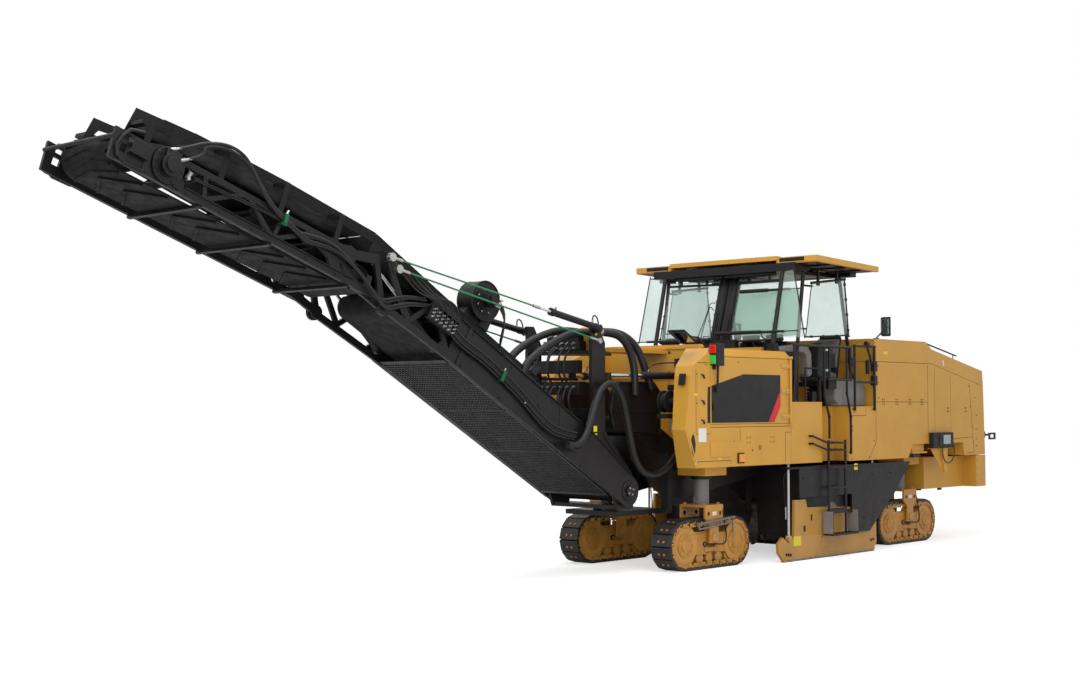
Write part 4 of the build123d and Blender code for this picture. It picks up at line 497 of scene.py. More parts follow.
for end, axle_x in AXLES:
    for side_name, side in SIDES:
        unit, mid = f"unit_{end}_{side_name}", side * TRACK_MID
        tag = f"{end}_{side_name}"
        links = Piece(f"chain_links_{tag}", yellow_low, unit, bevel=0.003)
        studs = Piece(f"shoe_bolts_{tag}", yellow_low, unit)
        for shoe in range(SHOES):
            dx, dz, turn = on_loop((shoe + 0.5) / SHOES, LINK_R - 0.03)
            for face in (-1, 1):
                y0, y1 = widths(face, mid)(0.1515, 0.16)
                x, z = axle_x + dx, LOOP_R + dz
                links.box((x - 0.056, x + 0.056), (y0, y1), (z - 0.026, z + 0.026), (-turn, "Y"))
                links.rod((x, mid + face * 0.15, z), (x, mid + face * 0.166, z), 0.019, sides=10)
                dx2, dz2, _ = on_loop((shoe + 1) / SHOES, LINK_R - 0.012)
                x, z = axle_x + dx2, LOOP_R + dz2
                links.box((x - 0.018, x + 0.018), (y0, y1 - 0.002), (z - 0.02, z + 0.02), (-turn, "Y"))
            dx, dz, turn = on_loop((shoe + 0.5) / SHOES, LOOP_R - 0.006)
            if dz > -LOOP_R + 0.03:
                for y in (mid - 0.048, mid + 0.032):
                    x, z = axle_x + dx, LOOP_R + dz
                    studs.box((x - 0.013, x + 0.013), (y - 0.013, y + 0.013), (z - 0.007, z + 0.004), (-turn, "Y"))
        frame_box = Piece(f"track_frame_{tag}", yellow_low, unit, bevel=0.006)
        drive = Piece(f"drive_hub_{tag}", yellow_low, unit, bevel=0.003)
        dots = Piece(f"frame_fasteners_{tag}", zinc, unit)
        dark = Piece(f"frame_slots_{tag}", plastic, unit)
        for face in (-1, 1):
            y = widths(face, mid)
            frame_box.box((axle_x - 0.5, axle_x - 0.08), y(0.098, 0.142), (0.185, 0.48))
            frame_box.box((axle_x - 0.47, axle_x - 0.11), y(0.14, 0.149), (0.4, 0.455))
            frame_box.box((axle_x + 0.1, axle_x + 0.4), y(0.098, 0.138), (0.2, 0.45))
            frame_box.box((axle_x - 0.13, axle_x + 0.16), y(0.13, 0.152), (0.215, 0.275))
            frame_box.side([(axle_x - 0.06, 0.3), (axle_x + 0.11, 0.3), (axle_x + 0.14, 0.53), (axle_x - 0.09, 0.53)],
                           y(0.098, 0.146))
            for dx, r in ((-LOOP_HALF, 0.15), (LOOP_HALF, 0.165)):
                spot = Vector((axle_x + dx, mid + face * 0.14, LOOP_R))
                way = Vector((0, face, 0))
                drive.rod(spot, spot + way * 0.016, r, sides=28)
                drive.rod(spot, spot + way * 0.026, r * 0.55, sides=24)
                drive.bolts([spot + way * 0.015 + Vector((math.cos(a), 0, math.sin(a))) * r * 0.8
                             for a in circle(10)], way, 0.01, 0.008)
            dark.rod((axle_x - 0.13, mid + face * 0.141, 0.315), (axle_x - 0.13, mid + face * 0.153, 0.315), 0.034,
                     sides=20)
            dots.rod((axle_x - 0.13, mid + face * 0.15, 0.315), (axle_x - 0.13, mid + face * 0.16, 0.315), 0.016,
                     sides=12)
            for z in (0.215, 0.262, 0.31, 0.36):
                dark.box((axle_x - 0.545, axle_x - 0.515), y(0.1, 0.118), (z - 0.012, z + 0.012))
            for x in (-0.125, 0.125):
                drive.ring((axle_x + x, mid + face * 0.2045, 0.7), (0, face, 0), 0.03, 0.006, 20)
                dark.rod((axle_x + x, mid + face * 0.1745, 0.7), (axle_x + x, mid + face * 0.2052, 0.7), 0.028,
                         sides=20)
            drive.rod((axle_x, mid + face * 0.2, 0.4), (axle_x, mid + face * 0.222, 0.4), 0.06, sides=20)
            dots.bolts([(axle_x + 0.04 * math.cos(a), mid + face * 0.22, 0.4 + 0.04 * math.sin(a))
                        for a in (0.8, 2.4, 4.0, 5.5)],
                       (0, face, 0), 0.008, 0.007)
        plates = Piece(f"yoke_plate_{tag}", white, unit)
        plates.box((axle_x - 0.045, axle_x + 0.045), widths(side, mid)(0.204, 0.2062), (0.675, 0.725))
        drive.bolts([(axle_x + dx, mid + dy, 0.809) for dx in (-0.15, 0.15) for dy in (-0.15, 0.15)], (0, 0, 1),
                    0.022, 0.024)
        hoses(f"motor_hose_{tag}", unit, [[(axle_x - 0.13, mid + side * 0.158, 0.315),
                                           (axle_x - 0.02, mid + side * 0.215, 0.32),
                                           (axle_x + 0.16, mid + side * 0.235, 0.3),
                                           (axle_x + 0.24, mid + side * 0.225, 0.36),
                                           (axle_x + 0.215, mid + side * 0.212, 0.62),
                                           (axle_x + 0.15, mid + side * 0.19, 0.8)]], 0.0095)
        if end == "front":
            bars = Piece(f"step_bar_{tag}", grey_steel, unit, bevel=0.004)
            outer = mid + side * 0.235
            bars.bent([(axle_x - 0.37, outer, 0.585), (axle_x + 0.4, outer, 0.64)], 0.017, 10)
            bars.bent([(axle_x - 0.36, outer, 0.52), (axle_x + 0.36, outer, 0.575)], 0.014, 10)
            for dx, low, high in ((-0.36, 0.52, 0.586), (0.1, 0.555, 0.62), (0.36, 0.42, 0.637)):
                bars.rod((axle_x + dx, outer, low), (axle_x + dx, outer, high), 0.012, sides=8)
            bars.box((axle_x - 0.1, axle_x + 0.06), widths(side, mid)(0.2, 0.235), (0.585, 0.612))
collars = Piece("leg_collars", black, bevel=0.004)
for _, axle_x in AXLES:
    for y in (-TRACK_MID, TRACK_MID):
        collars.rod((axle_x, y, 1.165), (axle_x, y, 1.215), 0.158, sides=32)
        collars.rod((axle_x, y, 1.13), (axle_x, y, 1.166), 0.132, sides=32)
        collars.bolts([(axle_x + 0.142 * math.cos(a), y + 0.142 * math.sin(a), 1.166) for a in circle(8)],
                      (0, 0, -1), 0.009, 0.01)

# ---------------------------------------------------------------- side plates, skirts, ladders
for side_name, side in SIDES:
    body, out = f"side_plate_{side_name}", side * PLATE_FACE
    y = widths(side)
    wear = Piece(f"plate_skid_{side_name}", steel, body, bevel=0.004)
    wear.box((2.12, 4.34), y(1.15, 1.208), (0.004, 0.03))
    marks = Piece(f"plate_fasteners_{side_name}", plastic, body)
    marks.bolts([(2.14, out, 0.1), (2.19, out, 0.095), (2.24, out, 0.09), (4.3, out, 0.16), (4.36, out, 0.17)],
                (0, side, 0), 0.014)
    marks.box((2.735, 2.765), y(1.1995, 1.2035), (0.52, 0.6)).box((2.555, 2.6), y(1.1995, 1.2035), (0.38, 0.46))
    ribs = Piece(f"plate_stiffeners_{side_name}", plate_yellow, body, bevel=0.004)
    ribs.side([(2.96, 0.14), (3.2, 0.14), (3.12, 0.3), (3.06, 0.52), (3.02, 0.52), (3.03, 0.3)], y(1.199, 1.21))
    ribs.box((2.1, 4.4), y(1.199, 1.2065), (0.036, 0.052))
    guides = Piece(f"plate_eyes_{side_name}", plate_yellow, body, bevel=0.003)
    for x, z in ((2.23, 0.3), (4.38, 0.6)):
        guides.rod((x, side * 1.15, z), (x, side * 1.208, z), 0.045, sides=20)
    lime_plate = Piece(f"plate_sign_{side_name}", lime, body)
    lime_plate.box((2.31, 2.49), y(1.1995, 1.2025), (0.2, 0.33))
    springs = Piece(f"plate_hose_{side_name}", chrome, body)
    springs.rod((2.235, side * 1.13, 0.56), (2.235, side * 1.13, 0.72), 0.012, sides=10)
    hoses(f"plate_lift_hose_{side_name}", body, [[(2.235, side * 1.13, 0.72), (2.2, side * 1.13, 0.95),
                                                  (2.17, side * 1.14, 1.12),
                                                  (2.22, side * 1.15, 1.2), (2.26, side * 1.15, 1.16)]], 0.007)
    across(f"plate_lift_hose_{side_name}")
    skirt = Piece(f"skirt_details_{side_name}", black, bevel=0.003)
    outer = side * 1.242
    skirt.box((2.4, 5.2), y(1.241, 1.248), (1.215, 1.235))
    skirt.bolts([(x, outer, 1.1) for x in (2.5, 2.9, 3.8, 4.3, 4.8)] + [(x, outer, 0.5) for x in (3.8, 4.05, 4.3)],
                (0, side, 0), 0.011)
    sign = Piece(f"skirt_plate_{side_name}", lime)
    sign.box((3.79, 3.88), y(1.2415, 1.244), (1.17, 1.26))
    grips = Piece(f"ladder_details_{side_name}", grey, bevel=0.002)
    for x in (2.948, 3.588):
        grips.box((x - 0.003, x + 0.017), y(1.262, 1.418), (0.335, 0.636))
        grips.bolts([(x - 0.003, side * (1.3 + dy), z) for dy in (0, 0.09) for z in (0.38, 0.6)], (-1, 0, 0), 0.008)
    treads = Piece(f"ladder_treads_{side_name}", black)
    for z in (0.652, 0.952, 1.232):
        for x in row(3.05, 3.42, 14):
            treads.box((x - 0.006, x + 0.006), y(1.288, 1.328), (z + 0.009, z + 0.017))
    for x in row(2.98, 3.56, 18):
        treads.box((x - 0.006, x + 0.006), y(1.27, 1.41), (0.329, 0.336))

# ---------------------------------------------------------------- loading conveyor
for name, body, place, tail, head, stops in (
        ("lower", "lower_section", LOWER, (0.0, 0.0, 0.13), (4.25, 0.0, 0.13), ()),
        ("upper", "upper_section", UPPER, (0.23, 0.12, 0.145), (3.195, 0.12, 0.19), (0.5, 1.54, 2.4))):
    cleats = Piece(f"belt_cleats_{name}", rubber, body, place, bevel=0.004)
    count = 13 if name == "lower" else 10
    for u in row(tail[0] + 0.32, head[0] - 0.05, count):
        share = (u - tail[0]) / (head[0] - tail[0])
        reach = tail[2] + (head[2] - tail[2]) * share
        for out in (1, -1):
            if out < 0 and (name == "lower" or any(abs(u - 0.1 - stop) < 0.2 for stop in stops)):
                continue
            v = tail[1] + out * reach
            for _, side in SIDES:
                cleats.flat([(u, 0), (u + 0.035, 0), (u - 0.19, side * 0.37), (u - 0.225, side * 0.37)],
                            (v - 0.004 * out, v + 0.018 * out))
    if name == "upper":
        for turn in (-75, -40, -5, 30, 65):
            middle = Vector((head[0], 0, head[1]))
            around = Matrix.Rotation(math.radians(-turn), 3, "Y")
            for _, side in SIDES:
                corners = [middle + around @ Vector((head[2] - 0.004, y, w)) for y, w in
                           ((0, 0.0), (0, 0.035), (side * 0.37, -0.035), (side * 0.37, -0.07))]
                cleats.slab(corners, around @ Vector((0.016, 0, 0)))
    splice = Piece(f"belt_edges_{name}", rubber, body, place)
    for _, side in SIDES:
        top = [tail[1] + tail[2], head[1] + head[2]]
        splice.side([(tail[0], top[0]), (head[0], top[1]), (head[0], top[1] + 0.003), (tail[0], top[0] + 0.003)],
                    (side * 0.385, side * 0.398))

flanges = Piece("lower_flanges", black, "lower_section", LOWER, bevel=0.002)
heads = Piece("lower_bolts", black, "lower_section", LOWER)
for _, side in SIDES:
    y = widths(side)
    flanges.box((0.92, 3.49), y(0.598, 0.622), (0.278, 0.289))
    flanges.side([(0.1, -0.19), (3.48, -0.209), (3.48, -0.2), (0.1, -0.18)], y(0.598, 0.616))
    flanges.side([(0.06, 0.2), (0.9, 0.29), (0.9, 0.28), (0.06, 0.19)], y(0.598, 0.618))
    flanges.side([(1.3, -0.17), (1.42, -0.17), (1.62, 0.27), (1.5, 0.27)], y(0.599, 0.606))
    flanges.box((3.3, 3.34), y(0.599, 0.612), (-0.2, 0.28))
    flanges.rod((0, side * 0.598, 0), (0, side * 0.612, 0), 0.13, sides=36)
    flanges.ring((0, side * 0.612, 0), (0, 1, 0), 0.115, 0.006, 36)
    heads.bolts([(0.098 * math.cos(a), side * 0.611, 0.098 * math.sin(a)) for a in circle(8)],
                (0, side, 0), 0.01)
    heads.bolts([(u, side * 0.6, v) for u in (0.95, 1.75, 2.55, 3.25) for v in (0.24, -0.16)], (0, side, 0), 0.012)
    heads.bolts([(3.6, side * 0.6, v) for v in (-0.1, 0.22)] + [(4.16, side * 0.6, 0.235), (4.5, side * 0.6, 0.25)],
                (0, side, 0), 0.012)
    for u in (1.15, 1.9, 2.65, 3.4):
        flanges.box((u - 0.05, u + 0.05), y(0.6, 0.61), (0.03, 0.115))
        heads.rod((u, side * 0.6, 0.064), (u, side * 0.618, 0.064), 0.02, sides=12)

# Punched sheet under the lower section: a grid of slots cut through, in a plain border
guard = Piece("punched_guard", black, "lower_section", LOWER, stands_for=("lower_guard",))
grid = bmesh.ops.create_grid(guard.bm, x_segments=72, y_segments=24, size=0.5)
bmesh.ops.transform(guard.bm, verts=grid["verts"],
                    matrix=Matrix.Translation((1.85, 0, -0.2005)) @ Matrix.Diagonal((3.06, 1.05, 1, 1)))
slots = bmesh.ops.inset_individual(guard.bm, faces=guard.bm.faces[:], thickness=0.0085)
rim = set(slots["faces"])
bmesh.ops.delete(guard.bm, geom=[face for face in guard.bm.faces if face not in rim], context="FACES")
bmesh.ops.solidify(guard.bm, geom=guard.bm.faces[:], thickness=0.004)
bmesh.ops.transform(guard.bm, verts=guard.bm.verts[:], matrix=LOWER)
for u in ((0.26, 0.33), (1.34, 1.37), (2.34, 2.37), (3.37, 3.44)):
    guard.box(u, (-0.5617, 0.5617), (-0.2045, -0.1965))
for y in ((-0.5617, -0.52), (0.52, 0.5617)):
    guard.box((0.26, 3.44), y, (-0.2045, -0.1965))

# Upper section: chord flanges, end loop, belt motor and its hoses
chords = Piece("upper_flanges", black, "upper_section", UPPER, bevel=0.002)
upper_bolts = Piece("upper_bolts", black, "upper_section", UPPER)
for _, side in SIDES:
    y = widths(side)
    chords.box((0.45, 2.64), y(0.599, 0.616), (0.008, 0.017)).box((0.45, 3.4), y(0.599, 0.616), (-0.067, -0.058))
    chords.bent([(3.1, side * 0.612, -0.055), (3.3, side * 0.612, -0.062), (3.395, side * 0.612, -0.02),
                 (3.43, side * 0.612, 0.06), (3.4, side * 0.612, 0.16), (3.34, side * 0.612, 0.25),
                 (3.2, side * 0.612, 0.29)], 0.02, 12)
    chords.box((2.7, 2.76), y(0.599, 0.611), (-0.04, 0.25)).box((3.06, 3.12), y(0.599, 0.611), (-0.04, 0.2))
    upper_bolts.bolts([(u, side * 0.6, -0.025) for u in (0.7, 1.1, 1.8, 2.2, 2.6, 2.95, 3.3)], (0, side, 0), 0.012)
    upper_bolts.bolts([(u, side * 0.6, v) for u, v in ((2.44, 0.2), (2.04, 0.2), (1.9, 0.21), (1.13, 0.235),
                                                       (0.75, 0.24),
                                                        (0.62, 0.19), (1.0, 0.22), (2.42, 0.02), (1.52, 0.02))],
                      (0, side, 0), 0.011)
motor = Piece("belt_motor", black, "upper_section", UPPER, bevel=0.004)
motor.rod((2.875, -0.6, 0.12), (2.875, -0.628, 0.12), 0.175, sides=36)
motor.rod((2.875, -0.626, 0.12), (2.875, -0.69, 0.12), 0.105, sides=28)
motor.rod((2.875, -0.688, 0.12), (2.875, -0.715, 0.12), 0.07, sides=24)
motor.box((2.8, 2.96), (-0.675, -0.6), (0.19, 0.26))
motor.box((3.1, 3.3), (-0.66, -0.6), (0.05, 0.19))
upper_bolts.bolts([(2.875 + 0.15 * math.cos(a), -0.628, 0.12 + 0.15 * math.sin(a)) for a in circle(12)], (0, -1, 0),
                  0.011)
fittings = Piece("upper_hose_fittings", zinc, "upper_section", UPPER)
MOTOR_RUNS = []
for shift in (0.0, 1.0):
    start = (2.95 - 0.13 * shift, -0.64, 0.235 - 0.045 * shift)
    fittings.rod(start, (start[0] - 0.075, -0.645, start[2] + 0.05), 0.019, sides=12)
    fittings.rod((start[0] - 0.06, -0.644, start[2] + 0.04), (start[0] - 0.13, -0.65, start[2] + 0.085), 0.014,
                 sides=12)
    MOTOR_RUNS.append([(start[0] - 0.1, -0.645, start[2] + 0.065), (start[0] - 0.25, -0.66, start[2] + 0.17),
                       (2.62, -0.66, 0.475 - 0.03 * shift),
                       (2.38, -0.66, 0.585 - 0.035 * shift), (2.15, -0.65, 0.585 - 0.04 * shift), (1.98, -0.64, 0.47),
                       (1.8, -0.635, 0.315 + 0.03 * shift),
                       (1.6, -0.63, 0.225 + 0.02 * shift), (1.4, -0.63, 0.165 + 0.03 * shift),
                       (1.15, -0.625, 0.11 + 0.03 * shift)])
hoses("belt_motor_hoses", "upper_section", MOTOR_RUNS, 0.0165, place=UPPER)
fittings.rod((2.655, -0.62, 0.1), (2.655, -0.66, 0.155), 0.024, sides=12)
fittings.rod((2.655, -0.62, 0.085), (2.655, -0.66, 0.09), 0.018, sides=12)
fittings.rod((1.49, -0.628, 0.26), (1.485, -0.64, 0.31), 0.014, sides=10)
clamp = Piece("upper_hose_clamp", clamp_green, "upper_section", UPPER, bevel=0.003)
clamp.box((1.475, 1.515), (-0.665, -0.6), (0.165, 0.265)).box((1.46, 1.53), (-0.655, -0.6), (0.15, 0.17))
knee = [(-3.86, -0.61, 3.21), (-4.1, -0.635, 3.23), (-4.36, -0.655, 3.19), (-4.53, -0.655, 3.15),
        (-4.63, -0.655, 3.25), (-4.83, -0.65, 3.46), (-5.11, -0.64, 3.68), (-5.36, -0.63, 3.76), (-5.6, -0.62, 3.78)]
hoses("knee_hoses", "upper_section", [shifted(knee, 0.03 * i, 0.01 * (i % 2), -0.034 * i + 0.012 * (i % 2))
                                      for i in range(4)], 0.0145)
across("knee_hoses")
thin = [(-5.1, -0.61, 3.62), (-5.35, -0.625, 3.66), (-5.62, -0.625, 3.8), (-5.95, -0.62, 3.93), (-6.4, -0.615, 4.05),
        (-6.8, -0.61, 4.17)]
hoses("chord_cables", "upper_section", [thin, shifted(thin, 0, 0.006, 0.022)], 0.006)

# Valve bank on the lower section's side, with its silver fittings, and the hoses that run down from it
bank = Piece("valve_bank", black, "lower_section", LOWER, bevel=0.004)
bank.box((3.58, 3.98), (-0.655, -0.6), (0.01, 0.15)).box((3.62, 3.94), (-0.668, -0.65), (0.025, 0.06))
taps = Piece("valve_fittings", zinc, "lower_section", LOWER)
for u in row(3.61, 3.95, 6):
    for v in (0.035, 0.08, 0.125):
        taps.rod((u, -0.655, v), (u - 0.006, -0.68, v), 0.012, sides=10)
        taps.rod((u - 0.006, -0.678, v), (u - 0.012, -0.7, v + 0.008), 0.008, sides=8)
run = [(3.6, -0.66, 0.02), (3.4, -0.645, -0.015), (3.04, -0.632, 0.03), (2.68, -0.63, 0.01), (2.27, -0.63, -0.02),
       (1.85, -0.635, -0.1), (1.55, -0.66, -0.1), (1.3, -0.69, 0.0)]
hoses("lower_side_hoses", "lower_section", [shifted(run, 0, -0.012 * (i % 2), 0.03 * i) for i in range(4)], 0.013,
      place=LOWER)
loops = [(3.62, -0.68, 0.13), (3.66, -0.74, 0.24), (3.8, -0.74, 0.3), (3.97, -0.7, 0.25), (4.1, -0.64, 0.27),
         (4.3, -0.62, 0.33)]
hoses("valve_loops", "lower_section", [shifted(loops, 0.06 * i, 0.01 * i, -0.03 * i) for i in range(4)], 0.009,
      place=LOWER)
lower_clamp = Piece("lower_hose_clamp", clamp_green, "lower_section", LOWER, bevel=0.003)
lower_clamp.box((2.64, 2.685), (-0.665, -0.6), (-0.01, 0.12))
lower_tip = Piece("lower_clamp_bolt", zinc, "lower_section", LOWER)
lower_tip.rod((2.6625, -0.64, 0.115), (2.6625, -0.64, 0.155), 0.01, sides=8)
lower_tip.rod((2.2, -0.6, -0.02), (2.2, -0.652, -0.02), 0.012, sides=8)

# Covers: rolled ribs, screws, cross strips and hinge straps
for name, body, place, roof, foot in (("lower", "lower_section", LOWER,
                                       [(1.9, 0.487), (3.644, 0.487), (4.826, 0.516)], 0.296),
                                      ("upper", "upper_section", UPPER,
                                       [(0.157, 0.684), (1.442, 0.681), (2.51, 0.641), (2.92, 0.601)], 0.59)):
    trim = Piece(f"cover_ribs_{name}", black_plain, body, place, bevel=0.0015)
    screws = Piece(f"cover_screws_{name}", black, body, place)
    for (u0, v0), (u1, v1) in zip(roof, roof[1:]):
        for _, side in SIDES:
            for drop in (0.018, 0.04, 0.062):
                trim.side([(u0, v0 - drop), (u1, v1 - drop), (u1, v1 - drop - 0.006), (u0, v0 - drop - 0.006)],
                          (side * 0.364, side * 0.369))
            trim.side([(u0, v0), (u1, v1), (u1, v1 + 0.005), (u0, v0 + 0.005)], (side * 0.34, side * 0.372))
            count = max(2, round((u1 - u0) / 0.28))
            screws.bolts([(u, side * 0.366, v - 0.05) for u, v in
                          ((u0 + (u1 - u0) * (i + 0.5) / count, v0 + (v1 - v0) * (i + 0.5) / count)
                           for i in range(count))],
                         (0, side, 0), 0.006, 0.006)
        for y in (-0.12, 0.12):
            trim.side([(u0, v0 - 0.001), (u1, v1 - 0.001), (u1, v1 + 0.008), (u0, v0 + 0.008)], (y - 0.02, y + 0.02))
        trim.box((u0 + 0.01, u0 + 0.05), (-0.366, 0.366), (v0 - 0.002, v0 + 0.006))

# Dust fan and its ducts
FAN = (3.133, 0.766)
fan = Piece("fan_housing", black, "lower_section", LOWER, bevel=0.003)
for y in (-0.424, -0.196):
    fan.ring((FAN[0], y, FAN[1]), (0, 1, 0), 0.226, 0.009, 40)
fan.rod((FAN[0], -0.432, FAN[1]), (FAN[0], -0.42, FAN[1]), 0.15, sides=36)
fan.rod((FAN[0], -0.545, FAN[1]), (FAN[0], -0.5, FAN[1]), 0.088, sides=28)
fan.rod((FAN[0], -0.59, FAN[1]), (FAN[0], -0.545, FAN[1]), 0.06, sides=24)
for turn in range(0, 360, 45):
    a = math.radians(turn)
    fan.box((FAN[0] + 0.19 * math.cos(a) - 0.03, FAN[0] + 0.19 * math.cos(a) + 0.03), (-0.427, -0.418),
            (FAN[1] + 0.19 * math.sin(a) - 0.004, FAN[1] + 0.19 * math.sin(a) + 0.004), (turn, "Y"))
fan_bolts = Piece("fan_bolts", zinc, "lower_section", LOWER)
fan_bolts.bolts([(FAN[0] + 0.135 * math.cos(a), -0.431, FAN[1] + 0.135 * math.sin(a)) for a in circle(8)],
                (0, -1, 0), 0.007)
for dv in (-0.045, 0.0, 0.045):
    fan_bolts.rod((FAN[0] - 0.02, -0.56, FAN[1] + dv), (FAN[0] - 0.09, -0.6, FAN[1] + dv), 0.013, sides=10)
wires = [(FAN[0] - 0.08, -0.59, FAN[1]), (FAN[0] - 0.2, -0.62, FAN[1] - 0.06), (FAN[0] - 0.28, -0.6, FAN[1] - 0.25),
         (FAN[0] - 0.35, -0.56, FAN[1] - 0.44),
         (FAN[0] - 0.6, -0.55, FAN[1] - 0.47), (FAN[0] - 1.1, -0.56, FAN[1] - 0.47)]
hoses("fan_hoses", "lower_section", [shifted(wires, 0, 0.02 * i, 0.045 * (i - 1)) for i in range(3)], 0.0095,
      place=LOWER)
ducts = Piece("dust_duct_stubs", black, "lower_section", LOWER)
ducts.rod((1.98, -0.13, 0.48), (1.92, -0.13, 0.6), 0.062, sides=20)
ducts.rod((1.98, -0.32, 0.48), (1.92, -0.32, 0.6), 0.062, sides=20)

# Lift cylinders and their stays: glands, ports, rope ends and hoses
caps = Piece("lift_cylinder_details", black, "lift_barrels", bevel=0.003)
ports = Piece("lift_cylinder_ports", zinc, "lift_barrels")
rope_ends = Piece("stay_eyes", zinc, "lift_stays", bevel=0.002)
STAY = (Vector((-4.35, 0, 3.62)) - Vector((-0.99, 0, 3.0))).normalized()
HOLD = (Vector((-4.25, 0, 3.5)) - Vector((-0.99, 0, 2.85))).normalized()
for _, side in SIDES:
    foot = Vector((-0.99, side * 0.625, 3.0))
    caps.rod(foot + STAY * 0.845, foot + STAY * 0.905, 0.047, sides=24)
    caps.rod(foot + STAY * 0.055, foot + STAY * 0.095, 0.046, sides=24)
    for along in (0.13, 0.8):
        ports.rod(foot + STAY * along + Vector((0, 0, 0.035)), foot + STAY * along + Vector((0, 0, 0.075)), 0.013,
                  sides=8)
    eye = Vector((-4.35, side * 0.625, 3.62))
    rope_ends.rod(eye - STAY * 0.16, eye - STAY * 0.02, 0.017, sides=14)
    rope_ends.rod(eye + Vector((0, -0.03, 0)), eye + Vector((0, 0.03, 0)), 0.046, sides=20)
    rope_ends.rod(foot + STAY * 1.085, foot + STAY * 1.2, 0.018, sides=14)
    eye = Vector((-4.25, side * 0.625, 3.5))
    rope_ends.rod(eye - HOLD * 0.16, eye - HOLD * 0.02, 0.017, sides=14)
    rope_ends.rod(eye + Vector((0, -0.03, 0)), eye + Vector((0, 0.03, 0)), 0.046, sides=20)
    foot = Vector((-0.99, side * 0.625, 2.85))
    rope_ends.rod(foot + HOLD * 0.02, foot + HOLD * 0.17, 0.017, sides=14)
    rope_ends.rod(foot + Vector((0, -0.018, 0)), foot + Vector((0, 0.018, 0)), 0.035, sides=20)
hoses("lift_cylinder_hoses", "lift_barrels",
      [[foot + Vector(p) for p in ((-0.13, 0.0, 0.1), (-0.1, 0.02, 0.17), (0.02, 0.03, 0.12), (0.06, 0.06, -0.05))]
       for side, foot in ((side, Vector((-0.99, side * 0.625, 3.0))) for _, side in SIDES)], 0.009)

# ---------------------------------------------------------------- mast and its hoses
column = Piece("mast_details", black, "mast", bevel=0.003)
column_bolts = Piece("mast_bolts", zinc, "mast")
plates = Piece("mast_plates", lime, "mast")
for _, side in SIDES:
    y = widths(side)
    column.rod((-0.99, side * 0.545, 3.0), (-0.99, side * 0.585, 3.0), 0.06, sides=28)
    column.box((-1.045, -0.935), y(0.545, 0.552), (1.8, 2.75))
    column.side([(-1.04, 1.56), (-0.66, 1.04), (-0.6, 1.06), (-0.96, 1.6)], y(0.545, 0.556))
    column.side([(-0.8, 1.76), (-0.34, 1.27), (-0.4, 1.25), (-0.84, 1.72)], y(0.545, 0.556))
    column.rod((-0.41, side * 0.628, 1.02), (-0.41, side * 0.64, 1.02), 0.07, sides=28)
    column_bolts.bolts([(-0.41 + 0.045 * math.cos(a), side * 0.64, 1.02 + 0.045 * math.sin(a))
                        for a in (0.5, 2.1, 3.7, 5.2)],
                       (0, side, 0), 0.009)
    column.bolts([(-1.0, side * 0.552, z) for z in (1.9, 2.3, 2.7)], (0, side, 0), 0.012)
    for z in (1.755, 1.665):
        plates.box((-1.02, -0.955), y(0.552, 0.5545), (z, z + 0.07))
    plates.box((-0.99, -0.95), y(0.552, 0.554), (2.92, 2.95))
valves = Piece("mast_valve_block", black, "mast", bevel=0.004)
valve_tips = Piece("mast_valve_fittings", zinc, "mast")
valves.box((-0.985, -0.815), (-0.3, 0.3), (2.745, 2.86)).box((-0.96, -0.84), (-0.26, 0.26), (2.86, 2.98))
valves.box((-1.15, -1.0), (-0.42, 0.42), (2.2, 2.36)).box((-1.1, -1.0), (-0.36, 0.36), (2.46, 2.62))
for y in row(-0.24, 0.24, 6):
    for z in (2.77, 2.83, 2.92):
        valve_tips.rod((-0.985, y, z), (-1.035, y, z), 0.014, sides=10)
        valve_tips.rod((-1.03, y, z), (-1.065, y, z - 0.012), 0.01, sides=8)
for y in row(-0.36, 0.36, 8):
    valve_tips.rod((-1.15, y, 2.3), (-1.19, y, 2.29), 0.015, sides=10)
feeds = [(-1.06, 0, 2.76), (-1.17, 0, 2.7), (-1.22, 0, 2.52), (-1.19, 0, 2.4), (-1.13, 0, 2.33)]
hoses("valve_feed_hoses", "mast",
      [[(x - 0.03 * (i % 3), y + 0.02 * (-1) ** i + (-0.26 + 0.104 * i), z + 0.03 * (i % 2)) for x, y, z in feeds]
       for i in range(6)], 0.0125)
feeds = [(-1.19, 0, 2.29), (-1.27, 0, 2.2), (-1.24, 0, 2.02), (-1.1, 0, 1.9), (-1.02, 0, 1.8), (-0.95, 0, 1.5),
         (-0.8, 0, 1.25)]
hoses("mast_drop_hoses", "mast", [shifted(feeds, 0.015 * (i % 3), -0.36 + 0.103 * i, 0) for i in range(8)], 0.012)
# The wide loop beside the mast, from the lower section's bundle round to the left body
wide = [(-1.68, -0.72, 1.62), (-1.48, -0.7, 1.58), (-1.28, -0.68, 1.74), (-1.12, -0.66, 2.08), (-0.98, -0.65, 2.3),
        (-0.78, -0.65, 2.36),
        (-0.6, -0.66, 2.18), (-0.5, -0.67, 1.8), (-0.4, -0.68, 1.4), (-0.2, -0.7, 1.2), (0.1, -0.71, 1.22),
        (0.36, -0.72, 1.42), (0.46, -0.735, 1.58)]
hoses("wide_hose_loop", "mast", [wide], 0.043)
across("wide_hose_loop")
hoses("wide_hose_pair", "mast", [shifted([(-1.68, -0.72, 1.62), (-1.52, -0.69, 1.52), (-1.32, -0.66, 1.58),
                                          (-1.16, -0.63, 1.84), (-1.04, -0.62, 2.02),
                                          (-1.0, -0.58, 2.2)], 0, 0, 0.03 * i) for i in range(2)], 0.014)
across("wide_hose_pair")

